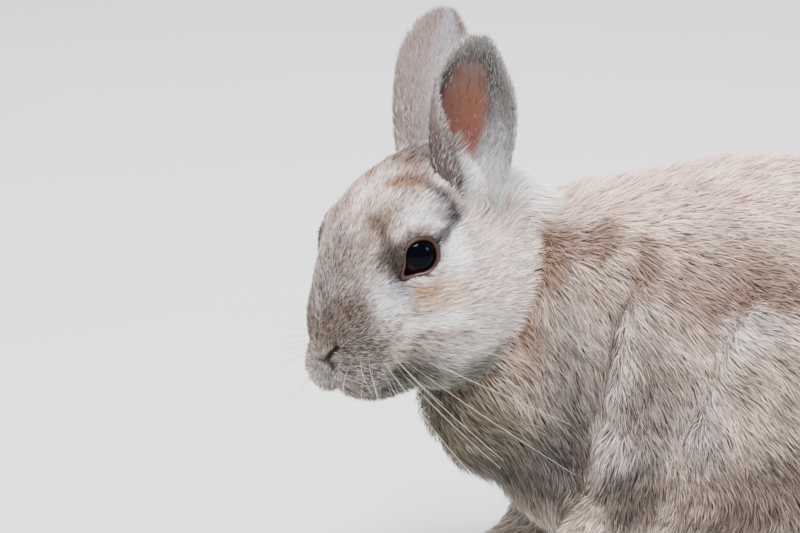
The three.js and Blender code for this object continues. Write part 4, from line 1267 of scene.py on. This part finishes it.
def headChart(places):  # half of the head opened flat: angle from its side, and angle round that
    x, y, z = unit(folded(toHead(places)) - (4, -4, 2)).T
    polar, angle = np.arccos(np.clip(y, -1, 1)) / np.pi, np.arctan2(z, x)
    return 0.5 + 0.62 * np.stack([polar * np.cos(angle), polar * np.sin(angle)], -1)


def trunkChart(places):  # length along the back, and angle round it from the spine
    angle = np.arctan2(np.abs(places[:, 1]), places[:, 2] - 70) / np.pi
    return np.stack([(places[:, 0] + 80) / 245, 0.02 + 0.96 * angle], -1)


def limbChart(places):  # angle round each foot's length, and the length, with the feet side by side
    hind = places[:, 0] > -10
    centre = np.where(hind[:, None], (40.0, 42, 8), (-26.0, 26, 14))
    off = folded(places) - centre
    angle = np.arctan2(off[:, 1], off[:, 2]) / (2 * np.pi) + 0.5
    run = np.clip(off[:, 0] / 110 + 0.45, 0, 1)
    lane = np.where(hind, 0.5, 0.0) + np.where(places[:, 1] < 0, 0.25, 0.0)
    return np.stack([lane + 0.01 + 0.23 * angle, run], -1)


twist = source.normal(0, coatLook["twist"], count)
rows, outs, sides = sweptBlades()
blades = bladeMesh(rows, outs, sides, width * source.uniform(0.75, 1.25, count), twist)
ahead, aside, angle = eyePlane(folded(toHead(rows[2])))
clear = (ahead < -4) | (aside - lidOutline("outer", angle) > 0.1)  # its tip doesn't hang over the eye
baseTone = coatColour(roots)
brightness = baseTone[:, 1]
contrast = 2.7 - 0.9 * onHead + 1.2 * onHead * smooth(20, 34, left[:, 2]) + 2.8 * muzzle
contrast = contrast + 0.5 * (1 - onHead) * smooth(110, 70, roots[:, 2])
contrast = (contrast + onHead * smooth(0.3, 0.1, brightness)) * (1 - 0.7 * smooth(0.5, 0.85, brightness))
lockShare, fineShare = 0.26 - 0.1 * onHead, 0.42 - 0.12 * muzzle
lockShade = lockShare * (lockTone - 0.5) + fineShare * fineTone
tones = bladeTones(baseTone, lockShade * contrast ** 0.4, contrast)

onBody = ~mostHead
isPaw = onBody & (roots[:, 2] < 19) & (roots[:, 0] < 100) & (np.abs(roots[:, 1]) > 12)
isChest = onBody & ~isPaw & (roots[:, 0] < 12)
isRump = onBody & ~isPaw & (roots[:, 0] > 68)
headSides = {"_left": toHead(roots)[:, 1] > 0, "_right": toHead(roots)[:, 1] <= 0}
bodySides = {"_left": roots[:, 1] < 0, "_right": roots[:, 1] >= 0}
regions = [
    ("coatHead", mostHead & clear, headSides, headChart, "coat_head"),
    ("coatChest", isChest, bodySides, trunkChart, "coat_body"),
    ("coatFlank", onBody & ~isPaw & ~isChest & ~isRump, bodySides, trunkChart, "coat_body"),
    ("coatRump", isRump, bodySides, trunkChart, "coat_body"),
    ("coatPaws", isPaw, {"": True}, limbChart, "coat_paw"),
]
for region, where, halves, chart, slot in regions:
    for ending, half in halves.items():
        mask = where & half
        parts = 1 + int(mask.sum() // coatLook["blades a piece"])
        turns = np.cumsum(mask) % parts
        for i in range(parts):
            own = mask & (turns == i)
            name = region + ending + (f"_{i + 1}" if parts > 1 else "")
            layCoat(name, blades[own], tones[own], chart(roots[own]), slot)
print("coat made")


# Coat of the ears: rooted by rim and height on both faces, leaning to the tip

earCoat = {  # blades, length, height of the tip and contrast of each set
    "back": (14000, 2.7, 0.72, 1.4), "inside": (11000, 3.0, 0.8, 1.9),
    "rim": (3200, 2.0, 1.1, 0.8), "base": (2600, 5.6, 2.4, 1.0),
}
earBladeWidth = 0.19


def earRoots(ear, kind, n):  # s, t and layer of each root, and which are on the fringe over the front slit
    t = 0.02 + 0.975 * source.random(n) ** 0.95
    s = source.uniform(-1, 1, n)
    layer = np.full(n, 1.0 if kind == "back" else 0.0)
    fringe = np.zeros(n, bool)
    if kind == "inside":  # mostly on the hairy bands, and otherwise moved towards a rim
        front, rear, top, _ = earBands(ear, s, t)
        keep = source.random(n) < 0.04 + np.maximum(np.maximum(front, rear), top)
        ahead = np.where(source.random(n) < 0.4, source.uniform(0.6, 0.99, n),
                         -source.uniform(0.25, 0.99, n))
        s = np.where(keep, s, ahead * ear["front"])
    if kind == "rim":
        s = np.sign(source.random(n) - 0.5) * source.uniform(0.95, 1.0, n)
        layer = source.random(n)
    if kind == "base":
        t = 0.4 * source.random(n) ** 1.7
        s = -(0.1 + 0.9 * source.random(n) ** 0.8) * ear["front"]
        fringe = source.random(n) < 0.13
        s[fringe], t[fringe] = 0.99 * ear["front"], source.uniform(0.04, 0.45, fringe.sum())
        layer = (source.random(n) < 0.3) * (t < 0.16) * 1.0
    return s, t, layer, fringe


def earFrame(ear, s, t, layer, step=0.004):  # places on an ear, the way out of that face and to the rim
    here = earPoint(ear, s, t, layer)
    high, wide = np.minimum(t + step, 1), np.clip(s + step, -1, 1)
    upward = unit(earPoint(ear, s, high, layer) - earPoint(ear, s, high - step, layer))
    sideways = unit(earPoint(ear, wide, t, layer) - earPoint(ear, wide - step, t, layer))
    out = unit(np.cross(sideways, upward))
    inward = ((here - earPoint(ear, s, t, 1 - layer)) * out).sum(1, keepdims=True) < 0
    return here, np.where(inward, -out, out), sideways * np.sign(s)[:, None]


def earTone(ear, kind, s, t, layer, fringe):  # the ear's colour nearby, white at the base, pale hairs
    n = len(s)
    nearS = np.clip(s + source.normal(0, 0.05, n), -1, 1)
    tone = earColour(ear, nearS, np.clip(t + source.normal(0, 0.03, n), 0, 1), layer)
    if kind == "base":
        share = np.clip(smooth(0.5, 0.16, t) + source.normal(0, 0.3, n) - 0.4 * fringe, 0, 1)
        shade = np.where(fringe[:, None], paint(116, 108, 106), paint(142, 136, 136))
        tone = toward(shade, (240, 238, 239), share)
    if kind == "back":
        pale = (source.random(n) < 0.3) * smooth(0.0, 0.3, s * ear["front"]) * smooth(0.7, 0.4, t)
        tone = toward(tone, (180, 170, 164), pale)
    if kind == "inside":
        pale = (source.random(n) < 0.26) * smooth(0.0, 0.4, np.abs(s))
        tone = toward(tone, (158, 156, 154), pale)
    return tone


def earBlades(ear):  # each blade leans to the tip and a little over the rim, and rises off its face
    tip = earAxes(ear)[1]
    sets = []
    for kind, (n, longest, highest, contrast) in earCoat.items():
        s, t, layer, fringe = earRoots(ear, kind, n)
        here, out, rimWay = earFrame(ear, s, t, layer)
        if kind == "rim":
            out = unit(rimWay + 0.5 * out)
        long = longest * source.uniform(0.6, 1.4, n) * (1 + 0.7 * smooth(0.4, 0.05, t))
        edge = smooth(0.75, 1.0, np.abs(s))[:, None]
        spread = 0.35 * edge + (0.45 if kind == "base" else 0.1)
        lean = unit(tip + rimWay * spread + source.normal(0, 0.16, (n, 3)))
        high = highest * source.uniform(0.4, 1.1, n)
        rows = [here - 0.1 * out] + [here + lean * (long * run)[:, None] + out * (high * run ** 0.7)[:, None]
                                     for run in coatLook["stops"][1:]]
        width = earBladeWidth * source.uniform(0.75, 1.25, n)
        mesh = bladeMesh(rows, [out] * 2, [np.cross(lean, out)] * 2, width, source.normal(0, 0.5, n))
        tone = earTone(ear, kind, s, t, layer, fringe)
        speckle = smooth(0.0, 0.3, s * ear["front"]) * smooth(0.6, 0.3, t) * (kind == "back")
        own = source.uniform(-0.08, 0.08, n) * (1 + 2 * speckle)
        tones = bladeTones(tone, own, contrast + 2.4 * speckle)
        chart = np.stack([0.5 + 0.24 * s + np.where(layer > 0.5, 0.25, -0.25), 0.01 + 0.97 * t], -1)
        sets.append((mesh, tones, chart))
    return [np.concatenate(part) for part in zip(*sets)]


for name, ear in ears.items():
    layCoat("coatEar_" + name, *earBlades(ear), "ear")
print("coat of the ears made")


# Whiskers: fine tapered rods, rooted in rows on the lip pads and over the eyes

whiskerLook = {"columns": 6, "rows": 3, "root": 0.065, "tip": 0.025, "taper": 0.8, "steps": 16, "around": 5,
               "colour": (100, 92, 86), "end": (234, 230, 224), "seed": 19}
browWhiskers = {  # root, way and length of the fine ones over each eye
    "front": ((5, 15, 33), (0.3, 0.3, 1), 14), "rear": ((0, 16, 32), (-0.05, 0.3, 1), 11),
}
whiskerShop = Shop("whisker", Roughness=0.35, Coat_Weight=0.2, Coat_Roughness=0.3)
whiskerShop.grained((160, 2), 0.3, (0.55, 0.5, 0.47))


def whiskerPath(root, way, length, sag):  # out from the skin, bent by the square of the way along
    t = np.linspace(0, 1, whiskerLook["steps"])[:, None]
    return onPlainSkin(np.array([root], float), 5)[0] + length * (unit(np.array(way)) * t + sag * t ** 2)


def whiskerPaths():  # rows on each lip pad, longer and flatter to the back, and two over each eye
    random = np.random.default_rng(whiskerLook["seed"])
    for side in (1, -1):
        for row in range(whiskerLook["rows"]):
            for i in range(whiskerLook["columns"]):
                column = i * 2.2 / (whiskerLook["columns"] - 1)
                length = (44 + 7 * column + 4 * row) * random.uniform(0.78, 1.05)
                lift = 0.35 - 0.42 * row - 0.1 * column + random.normal(0, 0.12)
                forward = 1.35 - 0.62 * column + random.normal(0, 0.12)
                height = (-2, -6.5, -11.5)[row] + 0.7 * column
                root = (41 - 5.6 * column, (11.2 + 1.4 * column) * side, height)
                yield whiskerPath(root, (forward, side, lift), length, np.array([-0.16, 0, -0.22]))
        for root, way, length in browWhiskers.values():
            mirror = np.array((1, side, 1))
            yield whiskerPath(root * mirror, way * mirror, length, np.array([-0.2, 0, -0.18]))


makeRods("whiskers", fromHead(np.array(list(whiskerPaths()))), whiskerLook, whiskerShop,
         lambda along: smooth(0.12, 0.5, along), "coat_head")

lists = lambda corners: [[float(v) for v in corner] for corner in corners]
{"solids": lists(solidBounds), "scene": lists(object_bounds())}
